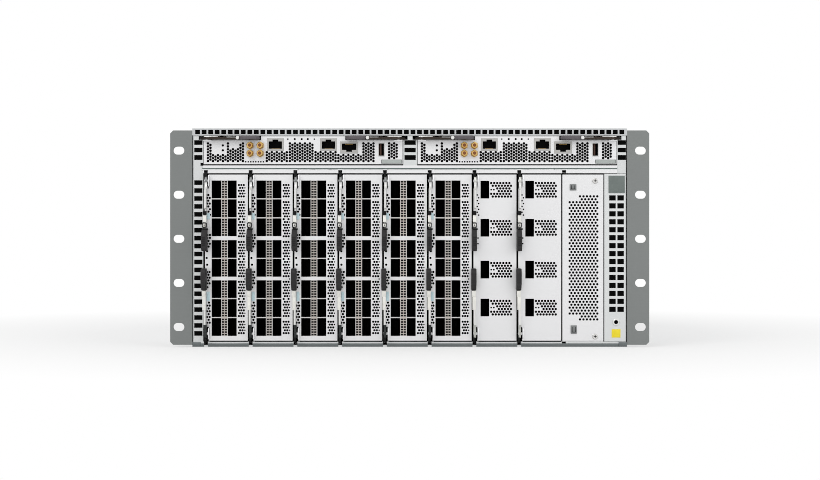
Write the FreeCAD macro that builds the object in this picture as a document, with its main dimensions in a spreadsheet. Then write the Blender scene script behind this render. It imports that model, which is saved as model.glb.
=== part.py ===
"""Modular chassis switch for a 19 inch rack, five units high, built piece by piece.

Axes: +X is the viewer's right, -Y is the front, +Z is up. The origin is at the
centre of the underside. Every size is a cell of the sheet "Sizes" and every
feature is bound to those cells, so a change of one cell carries through.
"""
import FreeCAD
import Part
import Sketcher
import math
import os
import re

doc = FreeCAD.newDocument("chassis_switch")
sheet = doc.addObject("Spreadsheet::Sheet", "Sizes")

SIZES = [
    # the rack and the chassis body
    ("rack_width", 482.6),
    ("rack_unit", 44.45),
    ("rack_holes", "=rack_width - 17.5"),
    ("body_width", "=rack_width - 44.6"),
    ("body_height", 220),
    ("body_depth", 580),
    ("metal", 1.2),
    ("half_width", "=body_width / 2"),
    ("front", "=-body_depth / 2"),
    ("back", "=body_depth / 2"),
    ("flange", 10),
    # the cover and the slots along its front lip
    ("lip_height", 7),
    ("lip_slot_width", 4.9),
    ("lip_slot_height", 4.4),
    ("lip_slot_pitch", "=body_width / 66.616"),
    # the rack ears
    ("ear_metal", 2),
    ("ear_bottom", 2),
    ("ear_height", "=body_height - 4"),
    ("ear_arm", 70),
    ("ear_chamfer", 3),
    ("ear_slot_radius", 4),
    ("ear_slot_length", 11),
    ("ear_slot_first", 19.9),
    # the front frame
    ("frame_front", "=front + metal"),
    ("frame_back", "=frame_front + metal"),
    ("frame_top", "=body_height - lip_height + 0.9"),
    ("sill", 5.2),
    ("column_left", "=10.9 - half_width"),
    ("column_right", "=half_width - 10.1"),
    ("post_left", -6.7),
    ("post_right", 7.5),
    ("window_top", "=body_height - 7.5"),
    ("vent_width", 8.3),
    ("vent_height", 4.7),
    ("vent_first", 11.1),
    # the shelf between the two rows of cards
    ("nose_bottom", "=shelf_top - 7.8"),
    ("shelf_top", "=body_height - 37.3"),
    ("nose_depth", 12),
    ("midplane_front", 38),
    ("midplane_thick", 4),
    ("plug_height", 50),
    # faceplates
    ("plate_front", "=front + 0.6"),
    ("plate_thick", 1.6),
    ("plate_back", "=plate_front + plate_thick"),
    # line cards
    ("card_left", "=column_left + 0.7"),
    ("card_width", "=card_pitch - 0.8"),
    ("card_pitch", "=body_width * 0.10297"),
    ("card_bottom", 6.5),
    ("card_top", "=nose_bottom - 0.8"),
    ("card_middle", "=(card_bottom + card_top) / 2"),
    ("vent_pitch", "=(card_top - card_bottom) / 20.95"),
    ("board_thick", 1.6),
    ("board_left", "=card_left + 6.2"),
    ("board_right", "=board_left + board_thick"),
    ("board_bottom", 5.6),
    ("board_top", "=card_top + 0.2"),
    ("board_back", "=midplane_front - 2"),
    ("guide_gap", 0.2),
    ("guide_wall", 2),
    ("guide_grip", 3),
    ("guide_front", "=front + 14"),
    ("guide_back", 30),
    # ports of the line cards
    ("port_gap", 1.6),
    ("port_pitch", "=(card_top - card_bottom) / 8.729"),
    ("port_height", "=port_pitch - port_gap"),
    ("port_near", "=card_left + 8.8"),
    ("port_near_end", "=card_left + 17.2"),
    ("port_far", "=card_left + 24"),
    ("port_far_end", "=card_left + 33"),
    ("port_depth", 48),
    ("cage_wall", 0.8),
    ("group_low", "=card_bottom + 4.3"),
    ("group_middle", "=group_low + 3 * port_pitch + 2.2"),
    ("group_high", "=group_middle + 2 * port_pitch + 2.8"),
    # ejectors of the line cards
    ("notch_width", 4.9),
    ("notch_height", 14),
    ("pivot_y", "=front - 3"),
    ("pivot_inset", 7),
    ("pivot_z", "=card_top - pivot_inset"),
    ("pin_radius", 1.5),
    ("pin_gap", 0.06),
    ("lever_left", "=card_left + 1"),
    ("lever_thick", 3.4),
    ("lever_back", "=front - 1"),
    ("lever_front", "=front - 11"),
    ("grip_front", "=front - 18"),
    ("grip_bottom", "=card_middle + 6.2"),
    ("grip_top", "=grip_bottom + 22.1"),
    ("claw_thick", 2.4),
    ("claw_left", "=lever_left - 0.9"),
    ("claw_room", "=claw_thick + 1.5"),
    # control cards
    ("control_left", "=column_left + 0.5"),
    ("control_width", "=post_left - 0.5 - control_left"),
    ("control_pitch", "=post_right + 0.5 - control_left"),
    ("control_bottom", "=shelf_top + 0.9"),
    ("control_top", "=body_height - 7.9"),
    ("control_shoulder", "=control_top - 4"),
    ("control_raised", 85),
    ("control_middle", "=control_left + control_width / 2"),
    ("control_board", "=control_bottom + 1.6"),
    ("control_pivot_x", "=control_left + 4.1"),
    ("control_pin", 1.4),
    ("jack_wall", 1.9),
    ("usb_wall", 0.6),
    ("jack_depth", 16),
    ("coax_radius", 3.2),
    ("coax_reach", 9),
    # the filler and the intake panel
    ("filler_left", "=card_left + 8 * card_pitch + 0.5"),
    ("filler_right", "=card_left + 9 * card_pitch - 3.4"),
    ("intake_left", "=filler_right + 1"),
    ("intake_width", "=half_width - metal - 0.2 - intake_left"),
    ("intake_vent", "=intake_width * 0.307"),
    ("intake_vent_height", 5.3),
    ("intake_vent_pitch", "=(card_top - card_bottom) / 20.9"),
    ("intake_vent_first", "=card_bottom + 28.6"),
    ("esd_radius", 2),
    # the rear bays
    ("bay_front", 44),
    ("bay_shelf", 46),
    ("psu_pitch", "=(body_width - 6) / 4"),
    ("psu_width", "=psu_pitch - 3"),
    ("psu_height", 42.6),
    ("psu_bottom", 1.2),
    ("psu_front", 48),
    ("fan_bottom", 47.6),
    ("fan_top", "=body_height - 9"),
    ("fan_front", "=back - 76"),
    ("fan_inner", 1.4),
    ("fan_outer", "=half_width - metal - 1"),
    ("fan_pitch", "=(fan_outer - fan_inner) * 0.4828"),
    ("fan_hole", "=fan_pitch * 0.471"),
    ("fan_hub", 19),
    ("fan_blade", "=fan_hole - 4"),
    ("blade_chord", 30),
    ("blade_thick", 2),
    ("fan_shaft", 3),
    ("fan_sheet", 2),
    ("strut", 8),
    ("motor_length", 13),
    ("shaft_gap", 0.08),
]

LIP_SLOTS = 66

aliases = [alias for alias, value in SIZES]
for row, alias in enumerate(aliases, start=1):
    sheet.set("A%d" % row, alias)
    sheet.setAlias("B%d" % row, alias)
for row, (alias, value) in enumerate(SIZES, start=1):
    sheet.set("B%d" % row, str(value))
doc.recompute()


def bound(text):
    """The same formula with every size written as a cell of the sheet."""
    return re.sub(r"[a-z_]+", lambda m: "Sizes." + m.group(0) if m.group(0) in aliases else m.group(0), str(text))


def number(text):
    """What a formula comes to now, as a start value for the sketcher."""
    value = sheet.evalExpression(bound(text))
    return float(getattr(value, "Value", value))


# ---- plain solids -----------------------------------------------------------

def block(name, x, y, z):
    """A block given by its two ends along each axis."""
    solid = doc.addObject("Part::Box", name)
    for side, axis, ends in (("Length", "x", x), ("Width", "y", y), ("Height", "z", z)):
        solid.setExpression(side, bound("(%s) - (%s)" % (ends[1], ends[0])))
        solid.setExpression("Placement.Base." + axis, bound(ends[0]))
    return solid


TURNS = {
    "x": FreeCAD.Rotation(FreeCAD.Vector(0, 1, 0), 90),
    "y": FreeCAD.Rotation(FreeCAD.Vector(1, 0, 0), -90),
    "z": FreeCAD.Rotation(),
}


def rod(name, axis, start, radius, length):
    """A round bar that starts at a point and runs along +X, +Y or +Z."""
    solid = doc.addObject("Part::Cylinder", name)
    solid.Placement.Rotation = TURNS[axis]
    solid.setExpression("Radius", bound(radius))
    solid.setExpression("Height", bound(length))
    for letter, place in zip("xyz", start):
        solid.setExpression("Placement.Base." + letter, bound(place))
    return solid


def fuse(name, pieces):
    solid = doc.addObject("Part::MultiFuse", name)
    solid.Shapes = pieces
    solid.Refine = True
    return solid


def cut(name, base, tool):
    solid = doc.addObject("Part::Cut", name)
    solid.Base = base
    solid.Tool = tool
    solid.Refine = True
    return solid


def gather(name, pieces, along="0"):
    """Pieces kept as separate solids under one name, moved along X."""
    group = doc.addObject("Part::Compound", name)
    group.Links = pieces
    group.setExpression("Placement.Base.x", bound(along))
    return group


def mirror(name, piece, axis, place):
    """A piece mirrored in the plane across one axis."""
    twin = doc.addObject("Part::Mirroring", name)
    twin.Source = piece
    twin.Normal = FreeCAD.Vector(axis == "x", axis == "y", axis == "z")
    twin.setExpression("Base." + axis, bound(place))
    return twin


# ---- sketched solids --------------------------------------------------------

def sketch(body, name, plane, lift="0"):
    """A sketch on one of the body's own origin planes, lifted along its normal."""
    drawing = body.newObject("Sketcher::SketchObject", name)
    support = [f for f in body.Origin.OriginFeatures if f.Role == plane][0]
    drawing.AttachmentSupport = [(support, "")]
    drawing.MapMode = "FlatFace"
    drawing.setExpression(".AttachmentOffset.Base.z", bound(lift))
    return drawing


def pin_down(drawing, index, point, place):
    """Hold one point at its two measured distances from the sketch origin."""
    for kind, text in zip(("DistanceX", "DistanceY"), place):
        rule = drawing.addConstraint(Sketcher.Constraint(kind, -1, 1, index, point, number(text)))
        drawing.setExpression("Constraints[%d]" % rule, bound(text))


def loop(drawing, corners):
    """A closed outline of straight lines through the given corners."""
    points = [FreeCAD.Vector(number(u), number(v), 0) for u, v in corners]
    first = drawing.GeometryCount
    count = len(corners)
    for i in range(count):
        drawing.addGeometry(Part.LineSegment(points[i], points[(i + 1) % count]))
    for i in range(count):
        after = first + (i + 1) % count
        drawing.addConstraint(Sketcher.Constraint("Coincident", first + i, 2, after, 1))
    for i in range(count):
        pin_down(drawing, first + i, 1, corners[i])


def rectangle(drawing, u, v):
    loop(drawing, [(u[0], v[0]), (u[1], v[0]), (u[1], v[1]), (u[0], v[1])])


def ring(drawing, centre, radius):
    middle = FreeCAD.Vector(number(centre[0]), number(centre[1]), 0)
    circle = Part.Circle(middle, FreeCAD.Vector(0, 0, 1), number(radius))
    index = drawing.addGeometry(circle)
    pin_down(drawing, index, 3, centre)
    rule = drawing.addConstraint(Sketcher.Constraint("Radius", index, number(radius)))
    drawing.setExpression("Constraints[%d]" % rule, bound(radius))


def oval(drawing, centre, length, radius):
    """A slot with round ends that lies along the sketch's first axis."""
    reach = "((%s) / 2 - (%s))" % (length, radius)
    left = ("(%s) - %s" % (centre[0], reach), centre[1])
    right = ("(%s) + %s" % (centre[0], reach), centre[1])
    size = number(radius)
    p = FreeCAD.Vector(number(left[0]), number(left[1]), 0)
    q = FreeCAD.Vector(number(right[0]), number(right[1]), 0)
    up = FreeCAD.Vector(0, size, 0)
    axis = FreeCAD.Vector(0, 0, 1)
    half = math.pi / 2
    a = drawing.addGeometry(Part.ArcOfCircle(Part.Circle(p, axis, size), half, 3 * half))
    b = drawing.addGeometry(Part.LineSegment(p - up, q - up))
    c = drawing.addGeometry(Part.ArcOfCircle(Part.Circle(q, axis, size), -half, half))
    d = drawing.addGeometry(Part.LineSegment(q + up, p + up))
    for one, end, other, start in ((a, 2, b, 1), (b, 2, c, 1), (c, 2, d, 1), (d, 2, a, 1)):
        drawing.addConstraint(Sketcher.Constraint("Tangent", one, end, other, start))
    pin_down(drawing, a, 3, left)
    pin_down(drawing, c, 3, right)
    rule = drawing.addConstraint(Sketcher.Constraint("Radius", a, size))
    drawing.setExpression("Constraints[%d]" % rule, bound(radius))


def pad(body, drawing, name, length):
    feature = body.newObject("PartDesign::Pad", name)
    feature.Profile = drawing
    feature.setExpression("Length", bound(length))
    body.Tip = feature
    return feature


def pocket(body, drawing, name, length):
    feature = body.newObject("PartDesign::Pocket", name)
    feature.Profile = drawing
    feature.setExpression("Length", bound(length))
    body.Tip = feature
    return feature


def row_of(body, original, name, axis, pitch, count):
    """Repeat a feature along a sketch axis and make the row the body's tip."""
    row = body.newObject("PartDesign::LinearPattern", name)
    row.Originals = [original]
    row.Direction = (original.Profile[0], [axis])
    row.setExpression("Length", bound("(%s) * ((%s) - 1)" % (pitch, count)))
    row.setExpression("Occurrences", bound(count))
    body.Tip = row
    return row


def body_named(name):
    return doc.addObject("PartDesign::Body", name)


NODES = {}


# ---- the tray: floor, two walls and the flanges that carry the cover --------

tray = body_named("TraySheet")
profile = sketch(tray, "TrayProfile", "XZ_Plane", "-back")
loop(profile, [
    ("-half_width", "0"),
    ("half_width", "0"),
    ("half_width", "body_height - metal"),
    ("half_width - flange", "body_height - metal"),
    ("half_width - flange", "body_height - 2 * metal"),
    ("half_width - metal", "body_height - 2 * metal"),
    ("half_width - metal", "metal"),
    ("metal - half_width", "metal"),
    ("metal - half_width", "body_height - 2 * metal"),
    ("flange - half_width", "body_height - 2 * metal"),
    ("flange - half_width", "body_height - metal"),
    ("-half_width", "body_height - metal"),
])
pad(tray, profile, "TrayFold", "back - frame_back")


def guide(name, foot, seat, edge):
    """One card guide: a strip the board's edge stands on, between two rails."""
    along = ("guide_front", "guide_back")
    left = ("board_left - guide_gap - guide_wall", "board_left - guide_gap")
    right = ("board_right + guide_gap", "board_right + guide_gap + guide_wall")
    between = ("board_left - guide_gap", "board_right + guide_gap")
    rails = sorted((foot, edge), key=number)
    strip = sorted((foot, seat), key=number)
    return [
        block(name + "Left", left, along, rails),
        block(name + "Seat", between, along, strip),
        block(name + "Right", right, along, rails),
    ]


floor_guide = guide("FloorGuide", "metal", "board_bottom", "board_bottom + guide_grip")
shelf_guide = guide("ShelfGuide", "shelf_top - metal", "board_top + guide_gap",
                    "board_top - guide_grip")
floor_guides = []
shelf_guides = []
for n in range(8):
    floor_guides.append(gather("FloorGuide%d" % (n + 1), floor_guide, "%d * card_pitch" % n))
    shelf_guides.append(gather("ShelfGuide%d" % (n + 1), shelf_guide, "%d * card_pitch" % n))
NODES["chassis_tray"] = gather("ChassisTray", [tray] + floor_guides)


# ---- the cover, with its folded lip and the row of slots --------------------

cover = body_named("TopCover")
profile = sketch(cover, "CoverProfile", "YZ_Plane", "-half_width")
loop(profile, [
    ("front", "body_height - lip_height"),
    ("front + metal", "body_height - lip_height"),
    ("front + metal", "body_height - metal"),
    ("back", "body_height - metal"),
    ("back", "body_height"),
    ("front", "body_height"),
])
pad(cover, profile, "CoverFold", "body_width")
slots = sketch(cover, "LipSlot", "XZ_Plane", "-front")
lip_start = "-(lip_slot_pitch * %d + lip_slot_width) / 2" % (LIP_SLOTS - 1)
lip_base = "body_height - lip_height + 1.2"
rectangle(slots, (lip_start, lip_start + " + lip_slot_width"), (lip_base, lip_base + " + lip_slot_height"))
opening = pocket(cover, slots, "LipOpening", "2 * metal")
row_of(cover, opening, "LipOpenings", "H_Axis", "lip_slot_pitch", LIP_SLOTS)
NODES["top_cover"] = cover


# ---- rack ears: an angle with five slots a rack unit apart ------------------

ear = body_named("RackEarLeft")
profile = sketch(ear, "EarProfile", "XY_Plane", "ear_bottom")
loop(profile, [
    ("-rack_width / 2", "front"),
    ("-half_width", "front"),
    ("-half_width", "front + ear_arm"),
    ("-half_width - ear_metal", "front + ear_arm"),
    ("-half_width - ear_metal", "front + ear_metal"),
    ("-rack_width / 2", "front + ear_metal"),
])
pad(ear, profile, "EarFold", "ear_height")
slots = sketch(ear, "EarSlot", "XZ_Plane", "-front")
oval(slots, ("-rack_holes / 2", "ear_slot_first"), "ear_slot_length", "ear_slot_radius")
opening = pocket(ear, slots, "EarOpening", "2 * ear_metal")
row_of(ear, opening, "EarOpenings", "V_Axis", "rack_unit", "5")
corners = sketch(ear, "EarCorners", "XZ_Plane", "-front")
loop(corners, [
    ("-rack_width / 2 - 1", "ear_bottom - 1"),
    ("-rack_width / 2 + ear_chamfer + 1", "ear_bottom - 1"),
    ("-rack_width / 2 - 1", "ear_bottom + ear_chamfer + 1"),
])
loop(corners, [
    ("-rack_width / 2 - 1", "ear_bottom + ear_height + 1"),
    ("-rack_width / 2 - 1", "ear_bottom + ear_height - ear_chamfer - 1"),
    ("-rack_width / 2 + ear_chamfer + 1", "ear_bottom + ear_height + 1"),
])
pocket(ear, corners, "EarChamfers", "2 * ear_metal")
NODES["rack_ear_left"] = ear
NODES["rack_ear_right"] = mirror("RackEarRight", ear, "x", "0")


# ---- front frame: one sheet with the card windows, vents and claw notches ---

frame = body_named("FrontFrame")
outline = sketch(frame, "FrameOutline", "XZ_Plane", "-frame_back")
rectangle(outline, ("-half_width", "half_width"), ("0", "frame_top"))
loop(outline, [
    ("column_left", "sill"),
    ("half_width - metal", "sill"),
    ("half_width - metal", "nose_bottom - guide_gap"),
    ("column_right", "nose_bottom - guide_gap"),
    ("column_right", "window_top"),
    ("post_right", "window_top"),
    ("post_right", "shelf_top"),
    ("post_left", "shelf_top"),
    ("post_left", "window_top"),
    ("column_left", "window_top"),
])
pad(frame, outline, "FramePlate", "metal")
vents = sketch(frame, "ColumnVent", "XZ_Plane", "-front")
vent_left = "column_left - 0.8 - vent_width"
rectangle(vents, (vent_left, vent_left + " + vent_width"), ("vent_first", "vent_first + vent_height"))
vent = pocket(frame, vents, "ColumnOpening", "4 * metal")
row_of(frame, vent, "ColumnOpenings", "V_Axis", "vent_pitch", "20")
upper = sketch(frame, "UpperVents", "XZ_Plane", "-front")
for low, high in (("31.7", "26.8"), ("24", "19.5"), ("16.5", "11.8")):
    low = "body_height - " + low
    high = "body_height - " + high
    rectangle(upper, (vent_left, vent_left + " + vent_width"), (low, high))
    rectangle(upper, ("post_left + 1.4", "post_right - 1.4"), (low, high))
    rectangle(upper, ("column_right + 0.8", "column_right + 0.8 + vent_width"), (low, high))
pocket(frame, upper, "UpperOpenings", "4 * metal")
claws = sketch(frame, "SillNotch", "XZ_Plane", "-front")
rectangle(claws, ("claw_left", "claw_left + claw_room"), ("sill - 3.4", "sill + 1"))
notch = pocket(frame, claws, "SillOpening", "4 * metal")
row_of(frame, notch, "SillOpenings", "H_Axis", "card_pitch", "9")
sides = sketch(frame, "ColumnNotches", "XZ_Plane", "-front")
for edge, way in (("column_left", "-"), ("post_left", "+"), ("post_right", "-"), ("column_right", "+")):
    inner = "%s %s 4.6" % (edge, way)
    outer = "%s %s (-0.4)" % (edge, way)
    rectangle(sides, sorted((inner, outer), key=number), ("control_shoulder + 0.5", "window_top"))
pocket(frame, sides, "ColumnClawRooms", "4 * metal")
NODES["front_frame"] = frame


# ---- card shelf: a folded nose with claw notches, and the guides below it ---

shelf = body_named("ShelfSheet")
profile = sketch(shelf, "NoseProfile", "YZ_Plane", "column_left + 0.1")
loop(profile, [
    ("front", "nose_bottom"),
    ("front + nose_depth", "nose_bottom"),
    ("front + nose_depth", "nose_bottom + metal"),
    ("front + metal", "nose_bottom + metal"),
    ("front + metal", "shelf_top - metal"),
    ("midplane_front", "shelf_top - metal"),
    ("midplane_front", "shelf_top"),
    ("front", "shelf_top"),
    ("front", "nose_bottom + 5.2"),
    ("front + metal / 2", "nose_bottom + 5.2"),
    ("front + metal / 2", "nose_bottom + 4.3"),
    ("front", "nose_bottom + 4.3"),
])
pad(shelf, profile, "NoseFold", "column_right - column_left - 0.2")
claws = sketch(shelf, "NoseNotch", "XZ_Plane", "-front")
rectangle(claws, ("claw_left", "claw_left + claw_room"), ("nose_bottom - 1", "nose_bottom + 3.9"))
notch = pocket(shelf, claws, "NoseOpening", "nose_depth - 1")
row_of(shelf, notch, "NoseOpenings", "H_Axis", "card_pitch", "9")
wings = block("ShelfWings", ("metal - half_width", "half_width - metal"),
              ("front + nose_depth", "midplane_front"), ("shelf_top - metal", "shelf_top"))
shelf_sheet = fuse("ShelfFused", [shelf, wings])
control_rails = []
for n in range(2):
    for m, inset in enumerate(("6", "control_width - 10")):
        start = "control_left + %s + %d * control_pitch" % (inset, n)
        rail = block("ControlRail%d%d" % (n + 1, m + 1), (start, start + " + 4"),
                     ("guide_front", "guide_back"), ("shelf_top", "control_board"))
        control_rails.append(rail)
NODES["card_shelf"] = gather("CardShelf", [shelf_sheet] + shelf_guides + control_rails)


# ---- intake panel: vents, blank name plate and the wrist-strap socket -------

intake = body_named("IntakeSheet")
outline = sketch(intake, "IntakeOutline", "XZ_Plane", "-plate_back")
rectangle(outline, ("intake_left", "half_width - metal - 0.2"), ("sill + 0.5", "nose_bottom - 0.5"))
pad(intake, outline, "IntakePlate", "plate_thick")
vents = sketch(intake, "IntakeVent", "XZ_Plane", "-front")
for start in ("intake_left + 0.228 * intake_width", "intake_left + 0.61 * intake_width"):
    rectangle(vents, (start, start + " + intake_vent"),
              ("intake_vent_first", "intake_vent_first + intake_vent_height"))
vent = pocket(intake, vents, "IntakeOpening", "4 * plate_thick")
row_of(intake, vent, "IntakeOpenings", "V_Axis", "intake_vent_pitch", "15")
bore = sketch(intake, "StrapBore", "XZ_Plane", "-front")
ring(bore, ("intake_left + 0.549 * intake_width", "card_bottom + 18.4"), "esd_radius")
pocket(intake, bore, "StrapOpening", "4 * plate_thick")
name_plate = block("NamePlate", ("intake_left + 3.8", "intake_left + intake_width - 0.5"),
                   ("plate_front - 0.4", "plate_front"), ("card_top - 19.6", "card_top - 1.2"))
fold = block("IntakeFold", ("intake_left", "intake_left + metal"),
             ("plate_back", "plate_back + 12"), ("sill + 2", "nose_bottom - 2"))
foot = block("IntakeFoot", ("intake_left", "half_width - metal"),
             ("frame_back", "frame_back + 10"), ("metal", "sill + 0.5 + metal"))
NODES["intake_panel"] = gather("IntakePanel", [fuse("IntakeFused", [intake, fold]), name_plate, foot])


# ---- midplane and the rear frame --------------------------------------------

midplane_span = ("midplane_front", "midplane_front + midplane_thick")
backplane = block("MidplaneBoard", ("10 - half_width", "half_width - 10"), midplane_span,
                  ("metal", "control_top"))
air = [block("MidplaneAir%d" % n, ("card_left + 20 + %d * card_pitch" % n,
                                   "card_left + 42 + %d * card_pitch" % n),
             ("midplane_front - 1", "midplane_front + midplane_thick + 1"),
             ("card_middle - 30", "card_middle + 60"))
       for n in range(8)]
midplane_board = cut("MidplaneCut", backplane, fuse("MidplaneAir", air))
sockets = []
for n in range(8):
    for m, low in enumerate(("card_middle - 70", "card_middle + 10")):
        side = "board_right + %d * card_pitch" % n
        sockets.append(block("CardSocket%d%d" % (n + 1, m + 1), (side + " + 0.3", side + " + 9.3"),
                             ("midplane_front - 8", "midplane_front"),
                             (low, low + " + plug_height")))
for n in range(2):
    start = "control_left + 60 + %d * control_pitch" % n
    sockets.append(block("ControlSocket%d" % (n + 1), (start, start + " + 80"),
                         ("midplane_front - 8", "midplane_front"),
                         ("control_board + board_thick + 0.3", "control_board + 11")))
NODES["midplane"] = gather("Midplane", [midplane_board] + sockets)

deck = block("BayShelf", ("metal - half_width", "half_width - metal"),
             ("bay_front", "back"), ("bay_shelf", "bay_shelf + metal"))
webs = [block("BayWeb%d" % n, ("%d * psu_pitch - metal / 2" % n, "%d * psu_pitch + metal / 2" % n),
              ("bay_front", "back"), ("metal", "bay_shelf"))
        for n in (-1, 0, 1)]
divider = block("FanDivider", ("-metal / 2", "metal / 2"), ("fan_front - 6", "back"),
                ("bay_shelf + metal", "body_height - metal"))
NODES["rear_bulkhead"] = fuse("RearBulkhead", [deck, divider] + webs)


# ---- a line card's faceplate: notched sheet, folded edges, ears and pins ----

def pin_and_ear(name, left, pivot):
    """The bent ear beside one ejector and the pin that stands out of it."""
    ear_plate = block(name + "Ear", (left + " + notch_width", left + " + notch_width + metal"),
                      ("pivot_y - 4", "plate_back"), (pivot + " - 5.5", pivot + " + 5.5"))
    pin = rod(name + "Pin", "x", (left + " + 0.8", "pivot_y", pivot), "pin_radius",
              "notch_width - 0.4")
    return [ear_plate, pin]


def line_faceplate(name, windows, shift):
    """The sheet of one kind of card, with its windows, folds and ejector pins."""
    left = "card_left + %s" % shift
    plate = body_named(name + "Sheet")
    shape = sketch(plate, name + "Outline", "XZ_Plane", "-plate_back")
    loop(shape, [
        (left + " + notch_width", "card_bottom"),
        (left + " + card_width", "card_bottom"),
        (left + " + card_width", "card_top"),
        (left + " + notch_width", "card_top"),
        (left + " + notch_width", "card_top - notch_height"),
        (left, "card_top - notch_height"),
        (left, "card_bottom + notch_height"),
        (left + " + notch_width", "card_bottom + notch_height"),
    ])
    for u, v in windows:
        rectangle(shape, u, v)
    pad(plate, shape, name + "Plate", "plate_thick")
    folds = [
        block(name + "FoldLeft", (left, left + " + metal"), ("plate_back", "plate_back + 9"),
              ("card_bottom + notch_height + 1.5", "card_top - notch_height - 1.5")),
        block(name + "FoldRight", (left + " + card_width - metal", left + " + card_width"),
              ("plate_back", "plate_back + 9"), ("card_bottom + 1.5", "card_top - 1.5")),
    ]
    pins = pin_and_ear(name + "Top", left, "pivot_z")
    pins += pin_and_ear(name + "Low", left, "2 * card_middle - pivot_z")
    return fuse(name, [plate] + folds + pins)


def group_height(count):
    return "port_pitch * %d + port_height" % (count - 1)


GROUPS = (("group_low", 3), ("group_middle", 2), ("group_high", 3))
windows = [(("port_near", "port_far_end"), (low, low + " + " + group_height(count)))
           for low, count in GROUPS]
many_plate = line_faceplate("ManyPortPlate", windows, "0")

FEW_PORTS = ["card_bottom + %s * port_pitch" % step for step in (1.255, 3.245, 5.443, 7.443)]
few_shift = "6 * card_pitch"
few_windows = [(("port_near + " + few_shift, "port_near_end + " + few_shift), (low, low + " + port_height"))
               for low in FEW_PORTS]
few_plate = line_faceplate("FewPortPlate", few_windows, few_shift)


# ---- a line card's board, with the port cages and the parts it carries ------

def cage(name, left, right, low, count, shift):
    """The plates of one column of ports: shelves between two walls, and a back."""
    front = "plate_back"
    deep = "plate_back + port_depth"
    plates = []
    for n in range(count + 1):
        base = "%s + %d * port_pitch" % (low, n)
        start = base + (" - cage_wall" if n == 0 else " - port_pitch + port_height")
        stop = base + (" - port_pitch + port_height + cage_wall" if n == count else "")
        plates.append(block("%sShelf%d" % (name, n), (left + shift, right + shift),
                            (front, deep), (start, stop)))
    bottom = low + " - cage_wall"
    top = low + " + " + group_height(count) + " + cage_wall"
    plates.append(block(name + "Back", (left + shift, right + shift),
                        (deep, deep + " + cage_wall"), (bottom, top)))
    return plates


def walls(name, spans, low, count, shift):
    bottom = low + " - cage_wall"
    top = low + " + " + group_height(count) + " + cage_wall"
    return [block("%sWall%d" % (name, n), (a + shift, b + shift),
                  ("plate_back", "plate_back + port_depth + cage_wall"), (bottom, top))
            for n, (a, b) in enumerate(spans)]


def board_parts(name, shift):
    """The bare board and the heavier parts every line card carries."""
    side = "board_right" + shift
    return [
        block(name + "Board", ("board_left" + shift, "board_right" + shift),
              ("plate_back", "board_back"), ("board_bottom", "board_top")),
        block(name + "Sink", (side, side + " + 24"), ("front + 100", "front + 180"),
              ("card_middle - 40", "card_middle + 40")),
        block(name + "MemoryLow", (side, side + " + 6"), ("front + 210", "front + 250"),
              ("card_middle - 50", "card_middle - 20")),
        block(name + "MemoryHigh", (side, side + " + 6"), ("front + 210", "front + 250"),
              ("card_middle + 20", "card_middle + 50")),
        block(name + "PlugLow", (side, side + " + 9"), ("board_back - 22", "midplane_front - 8.3"),
              ("card_middle - 70", "card_middle - 70 + plug_height")),
        block(name + "PlugHigh", (side, side + " + 9"), ("board_back - 22", "midplane_front - 8.3"),
              ("card_middle + 10", "card_middle + 10 + plug_height")),
    ]


def line_board(name, shift, groups, columns):
    parts = board_parts(name, shift)
    for g, (low, count) in enumerate(groups):
        tag = "%sGroup%d" % (name, g)
        if columns == 2:
            parts += cage(tag + "Near", "port_near", "port_near_end", low, count, shift)
            parts += cage(tag + "Far", "port_far", "port_far_end", low, count, shift)
            parts += walls(tag, (("board_right", "port_near"), ("port_near_end", "port_far"),
                                 ("port_far_end", "port_far_end + cage_wall")), low, count, shift)
        else:
            parts += cage(tag, "port_near", "port_near_end", low, count, shift)
            parts += walls(tag, (("board_right", "port_near"),
                                 ("port_near_end", "port_near_end + cage_wall")), low, count, shift)
    return gather(name, parts)


many_board = line_board("ManyPortBoard", " + 0", GROUPS, 2)
few_board = line_board("FewPortBoard", " + " + few_shift, [(low, 1) for low in FEW_PORTS], 1)


# ---- a line card's ejector: bored lever with a claw, and its moulded grip ---

lever = body_named("LineLever")
shape = sketch(lever, "LeverOutline", "YZ_Plane", "lever_left")
loop(shape, [
    ("lever_back", "grip_top"),
    ("lever_back", "pivot_z - 4"),
    ("pivot_y + 3.5", "pivot_z - 1"),
    ("pivot_y + 6.4", "pivot_z + 8"),
    ("pivot_y + 3.4", "pivot_z + 9.6"),
    ("pivot_y - 2.5", "pivot_z + 4"),
    ("pivot_y - 4", "pivot_z"),
    ("pivot_y - 4", "pivot_z - 5"),
    ("lever_front", "pivot_z - 9"),
    ("lever_front", "grip_top + 20.4"),
    ("lever_front + 5", "grip_top + 20.4"),
    ("lever_front + 5", "grip_top + 14.4"),
    ("lever_front", "grip_top + 14.4"),
    ("lever_front", "grip_top"),
])
ring(shape, ("pivot_y", "pivot_z"), "pin_radius + pin_gap")
pad(lever, shape, "LeverPlate", "lever_thick")
grip = body_named("LineGrip")
shape = sketch(grip, "GripOutline", "YZ_Plane", "lever_left - 1.2")
loop(shape, [
    ("lever_back + 0.4", "grip_bottom + 1.5"),
    ("lever_back + 0.4", "grip_top"),
    ("lever_front", "grip_top"),
    ("grip_front", "grip_top - 7"),
    ("grip_front", "grip_bottom + 3"),
    ("grip_front + 3", "grip_bottom"),
    ("lever_back - 1", "grip_bottom"),
])
pad(grip, shape, "GripBlock", "lever_thick + 1.6")
# the claw is thinner than the rest of the lever
claw_relief = block("ClawRelief", ("lever_left + claw_thick", "lever_left + lever_thick + 1"),
                    ("pivot_y - 3", "pivot_y + 8"), ("pivot_z + 5", "pivot_z + 11"))
upper_ejector = gather("UpperEjector", [cut("LineEjector", lever, claw_relief), grip])
lower_ejector = mirror("LowerEjector", upper_ejector, "z", "card_middle")

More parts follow.
